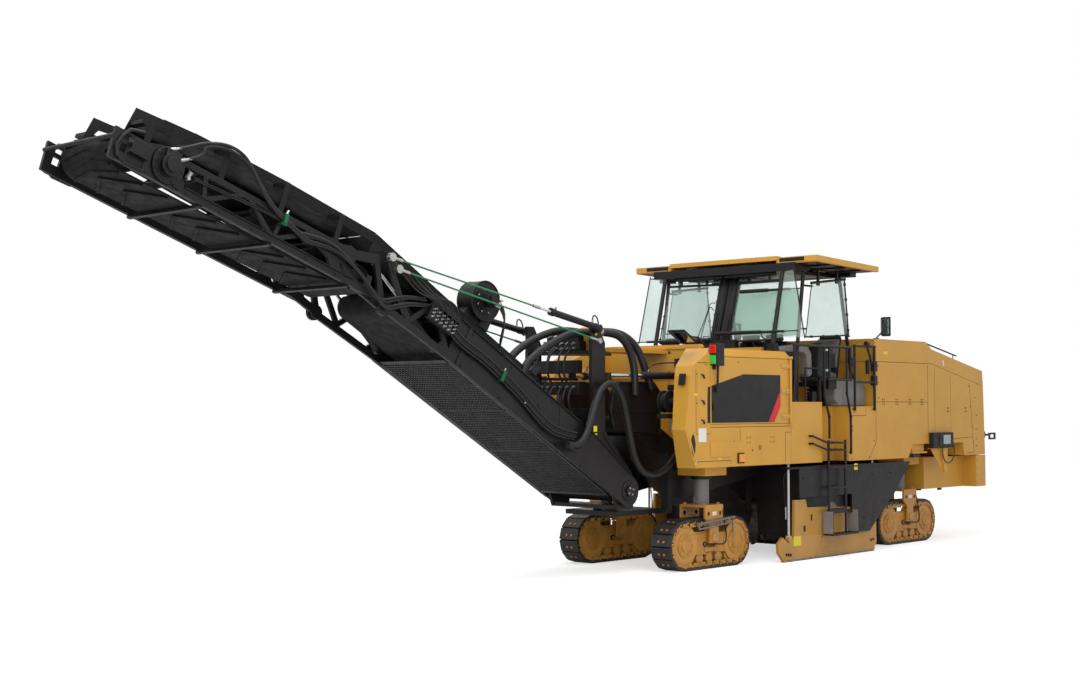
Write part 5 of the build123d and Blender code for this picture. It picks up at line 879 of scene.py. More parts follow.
# Suction ducts from the lower section's hood, behind the mast's head, down to the left body
bracket = Piece("duct_bracket", yellow, "mast", bevel=0.006)
bracket.box((-0.86, -0.7), (-0.46, -0.14), (2.745, 2.8)).box((-0.86, -0.82), (-0.46, -0.14), (2.8, 3.02))
bracket.rod((-0.84, -0.36, 2.965), (-0.68, -0.36, 2.975), 0.066, sides=24)
bracket.rod((-0.84, -0.22, 2.965), (-0.68, -0.22, 2.975), 0.066, sides=24)
cuffs = Piece("duct_cuffs", zinc, "mast")
for y in (-0.36, -0.22):
    cuffs.rod((-0.7, y, 2.972), (-0.672, y, 2.974), 0.0685, sides=24)
hoses("duct_arches", "mast", [[(-0.69, -0.36, 2.973), (-0.5, -0.37, 2.975), (-0.3, -0.4, 2.93), (-0.16, -0.44, 2.74),
                               (-0.12, -0.47, 2.45), (-0.13, -0.47, 2.2)],
                              [(-0.69, -0.22, 2.973), (-0.45, -0.24, 3.0), (-0.18, -0.32, 2.97), (0.02, -0.4, 2.8),
                               (0.1, -0.46, 2.52), (0.2, -0.48, 2.28)]], 0.05)
across("duct_arches")
hoses("duct_run", "mast", [[(-2.16, -0.16, 2.3), (-2.13, -0.17, 2.56), (-1.98, -0.18, 2.72), (-1.6, -0.19, 2.9),
                            (-1.2, -0.22, 3.0), (-0.84, -0.22, 2.965)],
                           [(-2.1, -0.36, 2.26), (-2.06, -0.36, 2.5), (-1.9, -0.36, 2.64), (-1.54, -0.36, 2.82),
                            (-1.16, -0.36, 2.96), (-0.84, -0.36, 2.965)]],
      0.046)
across("duct_run")

# ---------------------------------------------------------------- swing cylinders
for side_name, side in SIDES:
    eye, foot = Vector((-0.45, side * 0.29, 2.45)), Vector((0.6, side * 0.725, 2.45))
    way = (eye - foot).normalized()
    swing = Piece(f"swing_details_{side_name}", black, bevel=0.003)
    swing.rod(foot + way * 0.6, foot + way * 0.648, 0.052, sides=24)
    swing.rod(foot + way * 0.03, foot + way * 0.09, 0.052, sides=24)
    swing.box((0.585, 0.695), (side * 0.665 - 0.01, side * 0.665 + 0.01), (2.385, 2.515))
    swing_ports = Piece(f"swing_ports_{side_name}", zinc)
    for along in (0.12, 0.55):
        swing_ports.rod(foot + way * along + Vector((0, 0, 0.04)), foot + way * along + Vector((0, 0, 0.075)), 0.012,
                        sides=8)
    rod_eye = Piece(f"swing_eye_{side_name}", black, f"swing_rod_{side_name}", bevel=0.003)
    rod_eye.rod((eye.x, eye.y, 2.422), (eye.x, eye.y, 2.478), 0.052, sides=24)
    hoses(f"swing_hoses_{side_name}", "chassis",
          [[foot + way * along + Vector((0, 0, 0.07)), foot + way * along + Vector((0.02, 0, 0.15)),
            foot + Vector((-0.1, 0, 0.17)),
            foot + Vector((0.04, side * 0.03, 0.14)), foot + Vector((0.1, side * 0.045, 0.05))]
           for along in (0.12, 0.55)], 0.009)

# ---------------------------------------------------------------- front bodies
def groove(piece, side, start, end, width=0.006):
    """A dark shut line on a side wall, between two (x, z) points."""
    (x0, z0), (x1, z1) = start, end
    reach = math.hypot(x1 - x0, z1 - z0)
    nx, nz = -(z1 - z0) / reach * width / 2, (x1 - x0) / reach * width / 2
    piece.side([(x0 + nx, z0 + nz), (x1 + nx, z1 + nz), (x1 - nx, z1 - nz), (x0 - nx, z0 - nz)],
               widths(side)(WALL - 0.003, WALL + 0.0012))


for side_name, side in SIDES:
    y = widths(side)
    lines = Piece(f"front_shut_lines_{side_name}", plastic)
    skin = Piece(f"front_panels_{side_name}", yellow, bevel=0.004)
    knobs = Piece(f"front_fasteners_{side_name}", plastic)
    for start, end in (((0.1, 2.52), (0.1, 1.72)), ((0.1, 1.72), (0.4, 1.72)), ((0.4, 1.8), (2.15, 1.8)),
                       ((0.83, 1.3), (0.83, 1.38)),
                       ((0.83, 1.38), (0.1, 1.38)), ((1.03, 1.62), (1.03, 1.8)), ((2.06, 1.3), (2.06, 1.72)),
                       ((2.06, 1.72), (2.19, 1.72)), ((0.12, 2.6), (0.36, 2.6))):
        groove(lines, side, start, end)
    skin.box((0.39, 0.83), y(1.249, 1.262), (1.43, 1.62))
    skin.side([(-0.085, 1.78), (0.085, 1.36), (0.105, 1.36), (-0.06, 1.78)], y(1.246, 1.256))
    skin.box((0.14, 0.33), y(1.249, 1.254), (1.86, 2.5))
    skin.box((0.1, 2.19), y(1.245, 1.256), (1.302, 1.345))
    for x, z in ((1.18, 1.66), (1.18, 1.6), (1.25, 1.66), (1.25, 1.6), (1.72, 1.66), (1.72, 1.6), (1.79, 1.66),
                 (1.79, 1.6), (0.9, 1.62), (0.6, 2.7), (1.0, 2.62), (0.3, 2.58), (0.12, 2.46), (0.12, 2.1)):
        knobs.rod((x, side * 1.249, z), (x, side * 1.2535, z), 0.008, sides=10)
    for z in (1.9, 2.14, 2.46):
        knobs.side([(0.2, z), (0.25, z - 0.01), (0.27, z - 0.05), (0.25, z - 0.06), (0.235, z - 0.02),
                    (0.2, z - 0.015)], y(1.254, 1.268))
    knobs.ring((1.47, side * 1.252, 1.53), (0, 1, 0), 0.024, 0.004, 20)
    # The open slot in the front corner, drawn as a flat dark outline on the wall: painted shade for its inside
    slot = Piece(f"corner_slot_shade_{side_name}", plastic)
    slot.side([(0.0, 1.66), (0.03, 1.72), (0.06, 1.7), (0.085, 1.6), (0.078, 1.51), (0.052, 1.44), (0.022, 1.48),
               (-0.004, 1.58)],
              y(1.2485, 1.253))
    label = Piece(f"front_plates_{side_name}", white)
    label.box((0.15, 0.31), y(1.2495, 1.252), (1.62, 1.79)).box((0.08, 0.105), y(1.2495, 1.2525), (1.35, 1.4))
    signs = Piece(f"front_signs_{side_name}", lime)
    signs.box((0.06, 0.13), y(1.2495, 1.252), (2.19, 2.22)).box((0.56, 0.63), y(1.2495, 1.2515), (1.4, 1.42))
    lamp = Piece(f"side_lamp_{side_name}", amber, bevel=0.006)
    lamp.box((0.98, 1.09), y(1.262, 1.288), (1.355, 1.455))
    lamp_case = Piece(f"side_lamp_case_{side_name}", plastic, bevel=0.005)
    lamp_case.box((0.965, 1.105), y(1.249, 1.268), (1.34, 1.47))
    knobs.rod((1.3, side * 1.249, 1.5), (1.3, side * 1.256, 1.5), 0.01, sides=12)
    # Slanted inner wall of the nose: pipes, clips and a hose reel
    def inner(share, off, z):
        return -0.12 + 0.68 * share - 0.367 * off, side * (1.048 - 0.268 * share - 0.93 * off), z

    hoses(f"body_pipes_{side_name}", "chassis",
          [[inner(share + 0.1, -0.02, 2.56), inner(share + 0.03, 0.022, 2.54), inner(share, 0.024, 2.44),
            inner(share, 0.024, 2.1),
            inner(share, 0.024, 1.84), inner(share + 0.04, 0.022, 1.76), inner(share + 0.06, -0.02, 1.74)]
           for share in (0.36, 0.45, 0.54, 0.63, 0.72)],
          0.0115, coat=yellow)
    clips = Piece(f"pipe_clips_{side_name}", clamp_green, bevel=0.002)
    for z in (2.36, 1.9):
        clips.slab([inner(0.32, 0.0, z - 0.016), inner(0.76, 0.0, z - 0.016), inner(0.76, 0.0, z + 0.016),
                    inner(0.32, 0.0, z + 0.016)],
                   Vector(inner(0, 0.04, 0)) - Vector(inner(0, 0, 0)))
    reel = Piece(f"hose_reel_{side_name}", plastic, bevel=0.004)
    reel.rod((0.12, side * 0.955, 2.12), (0.12, side * 0.84, 2.12), 0.045, sides=16)
    for near, far, radius in ((0.85, 0.83, 0.14), (0.83, 0.75, 0.105), (0.75, 0.73, 0.14)):
        reel.rod((0.12, side * near, 2.12), (0.12, side * far, 2.12), radius, sides=32)
    reel.box((-0.03, 0.25), y(0.74, 0.89), (1.91, 1.97)).box((0.16, 0.24), y(0.76, 0.92), (2.26, 2.33))
    reel_cap = Piece(f"reel_fitting_{side_name}", zinc)
    reel_cap.rod((0.05, side * 0.73, 2.17), (0.05, side * 0.7, 2.17), 0.02, sides=12)
    reel_cap.rod((0.19, side * 0.8, 1.91), (0.19, side * 0.8, 1.74), 0.013, sides=12)
    # Dark plate on the nose's front face
    nose = Piece(f"nose_details_{side_name}", plastic, bevel=0.004)
    nose.slab([(-0.028, side * 1.1, 2.46), (-0.028, side * 1.2, 2.46), (-0.052, side * 1.2, 2.32),
               (-0.052, side * 1.1, 2.32)], (-0.012, 0, 0.002))

for side_name, side in SIDES:
    y, body = widths(side), f"locker_door_{side_name}"
    panel = Piece(f"locker_panel_front_{side_name}", black)
    panel.side([(0.345, 2.298), (0.392, 2.308), (0.392, 1.855), (0.318, 1.855)], y(1.2495, 1.2525))
    door = Piece(f"locker_panel_{side_name}", black, body)
    door.side([(0.42, 2.315), (1.11, 2.47), (1.945, 2.47), (1.945, 2.16), (1.8, 1.855), (0.42, 1.855)],
              y(1.2495, 1.2525))
    stripe = Piece(f"locker_stripe_{side_name}", red, body)
    stripe.side([(1.945, 2.27), (1.945, 2.06), (1.8, 1.855), (1.665, 1.855)], y(1.252, 1.254))
    hardware = Piece(f"locker_hardware_{side_name}", zinc, body, bevel=0.001)
    hardware.bolts([(x, side * 1.266, z) for z in (1.93, 2.26, 2.59) for x in (1.99, 2.07)], (0, side, 0), 0.01)
    catch = Piece(f"locker_catch_{side_name}", plastic, body, bevel=0.003)
    catch.box((0.44, 0.5), y(1.249, 1.264), (2.0, 2.1)).box((0.455, 0.485), y(1.262, 1.272), (2.02, 2.06))
    catch.box((0.44, 0.5), y(1.249, 1.264), (2.52, 2.6))

# Signal lamp on its stalk, left side only, and the folding mirror at the nose
signal = Piece("signal_lamp_case", plastic, bevel=0.028)
signal.box((0.4, 0.57), (-1.345, -1.225), (2.565, 2.845))
signal.bent([(0.515, -1.285, 2.6), (0.515, -1.275, 2.26)], 0.014)
signal.box((0.49, 0.54), (-1.285, -1.249), (2.24, 2.29))
upper_lens = Piece("signal_red", red_lens, bevel=0.006)
upper_lens.box((0.392, 0.404), (-1.335, -1.24), (2.72, 2.825))
lower_lens = Piece("signal_green", green_lens, bevel=0.006)
lower_lens.box((0.392, 0.404), (-1.335, -1.24), (2.585, 2.695))
for side_name, side in SIDES:
    arm = Piece(f"nose_mirror_{side_name}", plastic, bevel=0.006)
    y = widths(side)
    arm.box((0.02, 0.3), y(0.86, 1.12), (2.925, 2.945), (28, "Y"))
    arm.bent([(0.16, side * 0.99, 2.93), (0.5, side * 0.99, 2.93), (0.66, side * 1.0, 2.8)], 0.012)
    arm.box((0.62, 0.7), y(0.95, 1.05), (2.79, 2.806))
    face = Piece(f"nose_mirror_glass_{side_name}", mirror_face)
    face.box((0.04, 0.28), y(0.875, 1.105), (2.917, 2.924), (28, "Y"))

# Bridge and bulkhead in the slot, and the primary conveyor's skirts
slot_wall = Piece("bridge_details", yellow, bevel=0.004)
slot_wall.box((0.785, 0.805), (-0.74, 0.74), (2.42, 2.46)).box((0.785, 0.805), (-0.74, 0.74), (2.8, 2.84))
slot_marks = Piece("bridge_fittings", plastic, bevel=0.003)
slot_marks.box((0.775, 0.8), (-0.52, -0.4), (2.56, 2.68))
slot_marks.bolts([(0.8, y, z) for y in (-0.7, -0.3, 0.3, 0.7) for z in (2.5, 2.76)], (-1, 0, 0))
slot_plate = Piece("bridge_plate", clamp_green)
slot_plate.box((0.795, 0.8), (-0.66, -0.61), (2.6, 2.72))
chute = Piece("skirt_clamps", black, bevel=0.003)
for _, side in SIDES:
    chute.bent([(-0.5, side * 0.437, 1.8), (-0.556, side * 0.437, 2.0), (-0.515, side * 0.437, 2.24),
                (-0.395, side * 0.437, 2.36),
                (0.3, side * 0.437, 2.36), (0.42, side * 0.437, 2.24), (0.42, side * 0.437, 1.72)], 0.012)
    chute.box((-0.45, 0.4), widths(side)(0.43, 0.44), (1.98, 2.02))

# ---------------------------------------------------------------- platform
for side_name, side in SIDES:
    y = widths(side)
    treads = Piece(f"deck_treads_{side_name}", plastic, bevel=0.002)
    for i in range(5):
        treads.box((2.76 + 0.14 * i, 2.86 + 0.14 * i), y(0.3, 1.15), (2.06, 2.066))
    # Rigid grey side box behind the ladder, and the curved arm beside the desk
    stowage = Piece(f"stowage_box_{side_name}", grey, bevel=0.022)
    stowage.side([(3.5, 2.16), (3.53, 2.4), (3.62, 2.435), (4.22, 2.435), (4.335, 2.34), (4.335, 2.09), (4.28, 2.064),
                  (3.62, 2.064)], y(0.935, 1.12))
    stowage_lid = Piece(f"stowage_lid_{side_name}", grey, bevel=0.008)
    stowage_lid.box((3.64, 4.2), y(0.955, 1.1), (2.433, 2.447))
    stowage_lid.side([(3.7, 2.14), (3.74, 2.36), (4.16, 2.36), (4.26, 2.28), (4.26, 2.14)], y(1.118, 1.126))
    arm = Piece(f"desk_arm_{side_name}", grey, bevel=0.02)
    arm.side([(2.22, 2.86), (2.6, 2.905), (2.86, 2.89), (2.98, 2.8), (3.0, 2.5), (2.92, 2.46), (2.885, 2.5),
              (2.87, 2.74), (2.8, 2.8), (2.22, 2.795)], y(0.96, 1.08))
    # Black control pod with two lit keys, on a bracket beside the seat
    pod = Piece(f"control_pod_{side_name}", plastic, bevel=0.02)
    pod.side([(3.03, 2.5), (3.06, 2.88), (3.14, 2.94), (3.3, 2.94), (3.36, 2.88), (3.38, 2.56), (3.3, 2.48),
              (3.08, 2.46)], y(0.98, 1.14))
    pod.rod((3.2, side * 1.06, 2.46), (3.2, side * 1.06, 2.066), 0.03, sides=16)
    pod.box((3.12, 3.28), y(0.99, 1.13), (2.064, 2.08))
    pod.box((3.38, 3.56), y(1.02, 1.1), (2.6, 2.8))
    for z in (2.84, 2.56):
        key = Piece(f"pod_key_{side_name}_{int(z * 100)}", green_lens)
        key.box((3.16, 3.24), y(1.139, 1.148), (z - 0.012, z + 0.012))
        cap = Piece(f"pod_cap_{side_name}_{int(z * 100)}", white)
        cap.box((3.24, 3.29), y(1.139, 1.152), (z - 0.014, z + 0.014))
    rack = Piece(f"stand_rack_{side_name}", black, bevel=0.003)
    rack.bent([(2.72, side * 1.14, 2.1), (2.72, side * 1.14, 2.58), (3.02, side * 1.14, 2.58)], 0.012)
    rack.box((2.7, 3.42), y(1.1, 1.2), (2.112, 2.122))
    rack.box((2.8, 2.9), y(1.12, 1.2), (2.066, 2.26))
    rack.box((3.22, 3.42), y(1.12, 1.2), (2.3, 2.42))

# Control desk across the front of the platform, its screens, wheel and grips
desk = Piece("desk_trim", plastic, bevel=0.006)
keys = Piece("desk_keys", zinc)
panel_screen = Piece("desk_screens", mirror_face)
for _, side in SIDES:
    y = widths(side)
    for near, far in ((0.36, 0.62), (0.74, 1.0)):
        desk.box((2.36, 2.4), y(near, far), (2.93, 3.03), (18, "Y"))
        panel_screen.box((2.402, 2.406), y(near + 0.02, far - 0.02), (2.945, 3.015), (18, "Y"))
    for i in range(9):
        spot = Vector((2.47 + 0.06 * (i % 3), side * (0.4 + 0.07 * i), 2.93 - 0.011 * (i % 3)))
        keys.rod(spot, spot + Vector((0, 0, 0.028)), 0.011, sides=10)
    desk.rod((2.56, side * 0.68, 2.915), (2.6, side * 0.68, 3.0), 0.022, sides=14)
    desk.ring((2.61, side * 0.68, 3.01), (0.4, 0, 1), 0.15, 0.014, 28)
    desk.rod((2.46, side * 0.68, 2.98), (2.75, side * 0.68, 3.03), 0.01)
    desk.bent([(2.3, side * 0.3, 2.86), (2.26, side * 0.34, 2.95), (2.26, side * 0.58, 2.95),
               (2.3, side * 0.62, 2.86)], 0.011)
    desk.box((2.335, 2.5), y(0.3, 1.05), (2.698, 2.712))

# Seats: sewn pads over a shell and a pedestal, in the room their solids hold
seat_frames = Piece("seat_frames", plastic, bevel=0.01, stands_for=("seats",))
for _, side in SIDES:
    y = widths(side)
    seat_frames.box((3.68, 3.84), y(0.58, 0.78), (2.075, 2.34)).box((3.62, 3.9), y(0.5, 0.86), (2.061, 2.08))
    for i in range(5):
        seat_frames.box((3.655, 3.865), y(0.555, 0.805), (2.1 + 0.045 * i, 2.125 + 0.045 * i))
    seat_frames.box((3.56, 3.97), y(0.48, 0.88), (2.34, 2.41))
    seat_frames.side([(3.97, 2.38), (4.0, 2.42), (4.118, 3.05), (4.098, 3.07), (3.93, 2.42)], y(0.5, 0.86))


def padding(name, middle, size, lean, channels):
    """A sewn pad: a blown-up rounded block with piping round its edge and channels across it."""
    bm = bmesh.new()
    bmesh.ops.create_cube(bm, size=1, matrix=Matrix.Diagonal((*[s * 0.9 for s in size], 1)))
    bmesh.ops.bevel(bm, geom=bm.edges[:], offset=min(size) * 0.3, segments=3, profile=0.5, affect="EDGES")
    mesh = bpy.data.meshes.new(name)
    bm.to_mesh(mesh)
    bm.free()
    pad = bpy.data.objects.new(name, mesh)
    bpy.context.scene.collection.objects.link(pad)
    remesh = pad.modifiers.new("remesh", "REMESH")
    remesh.mode, remesh.voxel_size = "VOXEL", 0.009
    bpy.context.view_layer.update()
    pad.data = bpy.data.meshes.new_from_object(pad.evaluated_get(bpy.context.evaluated_depsgraph_get()))
    pad.modifiers.clear()
    start = [vert.co.copy() for vert in pad.data.vertices]
    cloth = pad.modifiers.new("cloth", "CLOTH")
    cloth.settings.use_pressure, cloth.settings.uniform_pressure_force = True, 4.0
    cloth.settings.effector_weights.gravity = 0
    for frame_number in range(1, 21):
        bpy.context.scene.frame_set(frame_number)
    pad.data = bpy.data.meshes.new_from_object(pad.evaluated_get(bpy.context.evaluated_depsgraph_get()))
    pad.modifiers.clear()
    bpy.context.scene.frame_set(1)
    place = WORLD @ Matrix.Translation(middle) @ Matrix.Rotation(math.radians(lean), 4, "Y")
    thin = size.index(min(size))
    along = 0 if thin == 2 else 2
    for vert, old in zip(pad.data.vertices, start):
        moved = vert.co - old
        if moved.length > 0.016:
            vert.co = old + moved.normalized() * 0.016
        groove_depth = sum(math.exp(-((vert.co[along] - spot) / 0.008) ** 2) for spot in channels)
        groove_depth += math.exp(-((abs(vert.co[1]) - size[1] * 0.34) / 0.008) ** 2)
        vert.co[thin] *= 1 - 0.16 * min(1.0, groove_depth)
    pad.data.transform(place)
    pad.data.materials.clear()
    pad.data.materials.append(vinyl)
    pad.data.shade_smooth()
    smooth = pad.modifiers.new("smooth", "SUBSURF")
    smooth.levels = smooth.render_levels = 1
    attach(pad, "chassis")
    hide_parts("seats")
    edge = Piece(name + "_piping", plastic, place=place)
    corners = []
    half = [s / 2 - 0.012 for s in size]
    others = [axis for axis in range(3) if axis != thin]
    for turn in circle(40):
        point = [0.0, 0.0, 0.0]
        for axis, way in zip(others, (math.cos(turn), math.sin(turn))):
            point[axis] = half[axis] * math.copysign(abs(way) ** 0.35, way)
        corners.append(point)
    edge.bent(corners + corners[:1], 0.004, sides=6)


for side_name, side in SIDES:
    padding(f"seat_pad_{side_name}", (3.765, side * 0.68, 2.475), (0.46, 0.47, 0.125), 0, (-0.08, 0.08))
    padding(f"seat_back_{side_name}", (4.015, side * 0.68, 2.815), (0.075, 0.43, 0.5), 11.3, (-0.1, 0.0, 0.1))

# ---------------------------------------------------------------- rear body and hood
for side_name, side in SIDES:
    y = widths(side)
    lines = Piece(f"rear_shut_lines_{side_name}", plastic)
    for start, end in (((4.385, 2.69), (4.385, 1.55)), ((4.385, 1.55), (4.18, 1.31)), ((4.39, 2.125), (5.905, 2.125)),
                       ((5.905, 2.69), (5.905, 1.52)),
                       ((7.23, 2.44), (7.37, 1.34)), ((6.62, 1.56), (7.33, 1.58)), ((7.12, 1.33), (7.37, 1.34)),
                       ((3.68, 1.93), (4.1, 1.93))):
        groove(lines, side, start, end)
    for start, end in (((6.12, 2.64), (6.12, 1.7)), ((6.62, 2.53), (6.62, 1.62)), ((4.1, 2.05), (4.1, 1.93))):
        groove(lines, side, start, end, 0.0025)
    dots = Piece(f"rear_fasteners_{side_name}", plastic)
    spots = [(x + dx, 2.125 + dz) for x in (4.6, 4.98, 5.36, 5.72) for dx in (-0.025, 0.025)
             for dz in (-0.035, 0.035)]
    spots += [(x + dx, 2.01 + dz) for x in (6.53, 7.1) for dx in (-0.02, 0.02) for dz in (-0.025, 0.025)]
    spots += [(4.46, 2.64), (4.46, 2.4), (4.46, 2.18), (7.2, 2.38), (7.26, 2.06), (7.31, 1.74), (7.34, 1.5),
              (3.79, 2.02), (3.79, 1.98),
              (3.74, 1.78), (3.74, 1.72), (3.72, 1.55), (3.72, 1.33), (4.33, 1.57), (4.2, 1.34), (7.45, 1.7),
              (7.45, 1.55), (7.45, 1.44), (7.42, 2.2), (7.46, 1.92)]
    for x, z in spots:
        dots.rod((x, side * 1.249, z), (x, side * 1.2535, z), 0.01, sides=8)
    for x in (4.6, 4.98, 5.36, 5.72):
        dots.rod((x - 0.03, side * 1.253, 2.125), (x + 0.03, side * 1.253, 2.125), 0.006, sides=8)
    # Bolts down the rear corner of the low tail box
    for z in (0.86, 0.98, 1.1, 1.22):
        dots.rod((7.47, side * 1.249, z), (7.47, side * 1.2535, z), 0.008, sides=8)
    marks = Piece(f"rear_signs_{side_name}", lime)
    marks.box((4.62, 4.72), y(1.2495, 1.252), (2.81, 2.855))
    notes = Piece(f"rear_plates_{side_name}", white)
    notes.side([(6.375, 2.765), (6.405, 2.765), (6.425, 2.675), (6.395, 2.675)], y(1.2495, 1.252))
    tail = Piece(f"rear_lamps_{side_name}", plastic, bevel=0.006)
    tail.box((7.66, 7.74), y(1.12, 1.2), (2.38, 2.47)).box((7.63, 7.7), y(1.05, 1.22), (2.43, 2.455))
    tail_lens = Piece(f"rear_lamp_lens_{side_name}", red_lens, bevel=0.004)
    tail_lens.box((7.735, 7.745), y(1.13, 1.19), (2.39, 2.46))
    # Levelling controls on their bracket over the wheel arch, with a looped lead
    case = Piece(f"rear_control_{side_name}", plastic, bevel=0.014)
    case.box((5.93, 6.56), y(1.25, 1.325), (1.435, 1.665))
    case.box((6.1, 6.5), y(1.325, 1.335), (1.46, 1.645))
    face = Piece(f"rear_control_screen_{side_name}", mirror_face, bevel=0.002)
    face.box((6.22, 6.44), y(1.335, 1.34), (1.49, 1.625))
    hanger = Piece(f"rear_hanger_{side_name}", yellow, bevel=0.005)
    hanger.side([(5.95, 1.43), (6.5, 1.43), (6.46, 1.22), (6.41, 1.045), (6.36, 1.03), (6.28, 1.1), (6.12, 1.26)],
                y(1.252, 1.262))
    hanger.side([(5.95, 1.43), (6.5, 1.43), (6.5, 1.42), (5.95, 1.42)], y(1.2, 1.3))
    hanger.side([(6.24, 1.43), (6.44, 1.43), (6.42, 1.1), (6.34, 1.06)], y(1.262, 1.29))
    loop = [(6.56, side * 1.3, 1.57)]
    loop += [(6.42 + 0.19 * math.cos(a), side * 1.31, 1.385 + 0.19 * math.sin(a))
             for a in [1.2 - 0.42 * i for i in range(13)]]
    hoses(f"rear_control_lead_{side_name}", "chassis", [loop + [(6.22, side * 1.3, 1.44)]], 0.008)
    step_plate = Piece(f"arch_step_{side_name}", yellow, bevel=0.004)
    step_plate.box((5.46, 5.9), y(1.05, 1.235), (1.36, 1.385)).box((5.5, 5.86), y(1.05, 1.2), (1.385, 1.5))
    under = Piece(f"rear_underside_{side_name}", black, bevel=0.004)
    under.box((5.42, 5.74), y(1.08, 1.2), (1.302, 1.36))
    under.rod((5.52, side * 1.1, 1.33), (5.52, side * 1.22, 1.33), 0.03, sides=16)
    under.rod((6.4, side * 0.8, 0.8), (6.4, side * 0.8, 0.765), 0.05, sides=16)
    under.rod((6.9, side * 0.6, 0.8), (6.9, side * 0.6, 0.775), 0.05, sides=16)
    # Black feet of the two bent rails, at the front of the engine's wall
    feet = Piece(f"rail_feet_{side_name}", plastic, bevel=0.008)
    feet.box((4.27, 4.36), y(1.235, 1.3), (2.56, 2.7)).box((4.27, 4.36), y(1.235, 1.3), (2.36, 2.5))
    feet.rod((4.12, side * 1.277, 2.72), (4.12, side * 1.277, 2.52), 0.03, sides=12)
    feet.rod((3.69, side * 1.277, 2.75), (3.69, side * 1.277, 2.62), 0.036, sides=12)
    feet.rod((4.07, side * 1.277, 2.955), (4.14, side * 1.277, 2.925), 0.036, sides=12)
    feet.bent([(4.1, side * 1.277, 2.94), (4.24, side * 1.277, 2.66)], 0.016)
    # Mirror's rounded case and glass
    mirror = Piece(f"mirror_case_{side_name}", plastic, "hood", bevel=0.016)
    mirror.box((4.59, 4.615), y(1.235, 1.375), (3.07, 3.35))
    glass_plate = Piece(f"mirror_glass_{side_name}", mirror_face, "hood", bevel=0.004)
    glass_plate.box((4.553, 4.5595), y(1.255, 1.365), (3.1, 3.32))

hood_lines = Piece("hood_details", yellow, "hood", bevel=0.004)
hood_lines.box((4.4, 5.8), (-1.14, -1.1), (3.028, 3.036)).box((4.4, 5.8), (1.1, 1.14), (3.028, 3.036))
hood_lines.box((4.42, 4.46), (-1.1, 1.1), (3.028, 3.036))
vents = Piece("hood_grille", plastic, "hood", bevel=0.002)
for i in range(15):
    x = 6.25 + 0.085 * i
    z = 2.92 - (x - 6.04) * 0.1835
    vents.box((x, x + 0.045), (-0.62, 0.62), (z + 0.001, z + 0.014), (10.4, "Y"))
for i in range(11):
    vents.box((4.7 + 0.085 * i, 4.745 + 0.085 * i), (-0.46, 0.46), (3.029, 3.042))
stack = Piece("exhaust_stack", chrome, "hood", bevel=0.003)
stack.rod((5.98, 0.45, 2.93), (5.98, 0.45, 3.02), 0.07, sides=28)
stack.rod((5.98, 0.45, 3.0), (6.1, 0.45, 3.02), 0.05, sides=24)
bar = Piece("hood_bar", black, "hood", bevel=0.002)
bar.slab([(6.2, -1.02, 3.035), (6.2, -0.99, 3.035), (7.28, -0.99, 2.85), (7.28, -1.02, 2.85)], (0, 0, 0.016))
for x, z in ((6.3, 2.94), (7.18, 2.79)):
    bar.rod((x, -1.005, z - 0.1), (x, -1.005, z + 0.075), 0.008, sides=8)

rear_face = Piece("rear_grille", plastic, bevel=0.003)
for i in range(16):
    z = 1.5 + 0.052 * i
    x = 7.745 - (z - 1.3) * 0.0541
    rear_face.box((x - 0.002, x + 0.004), (-0.9, 0.9), (z, z + 0.026))
rear_face.box((7.742, 7.749), (-1.05, -0.8), (0.95, 1.15)).box((7.742, 7.749), (0.8, 1.05), (0.95, 1.15))
rear_lenses = Piece("rear_low_lenses", red_lens, bevel=0.003)
rear_lenses.box((7.746, 7.752), (-1.03, -0.82), (0.97, 1.05)).box((7.746, 7.752), (0.82, 1.03), (0.97, 1.05))

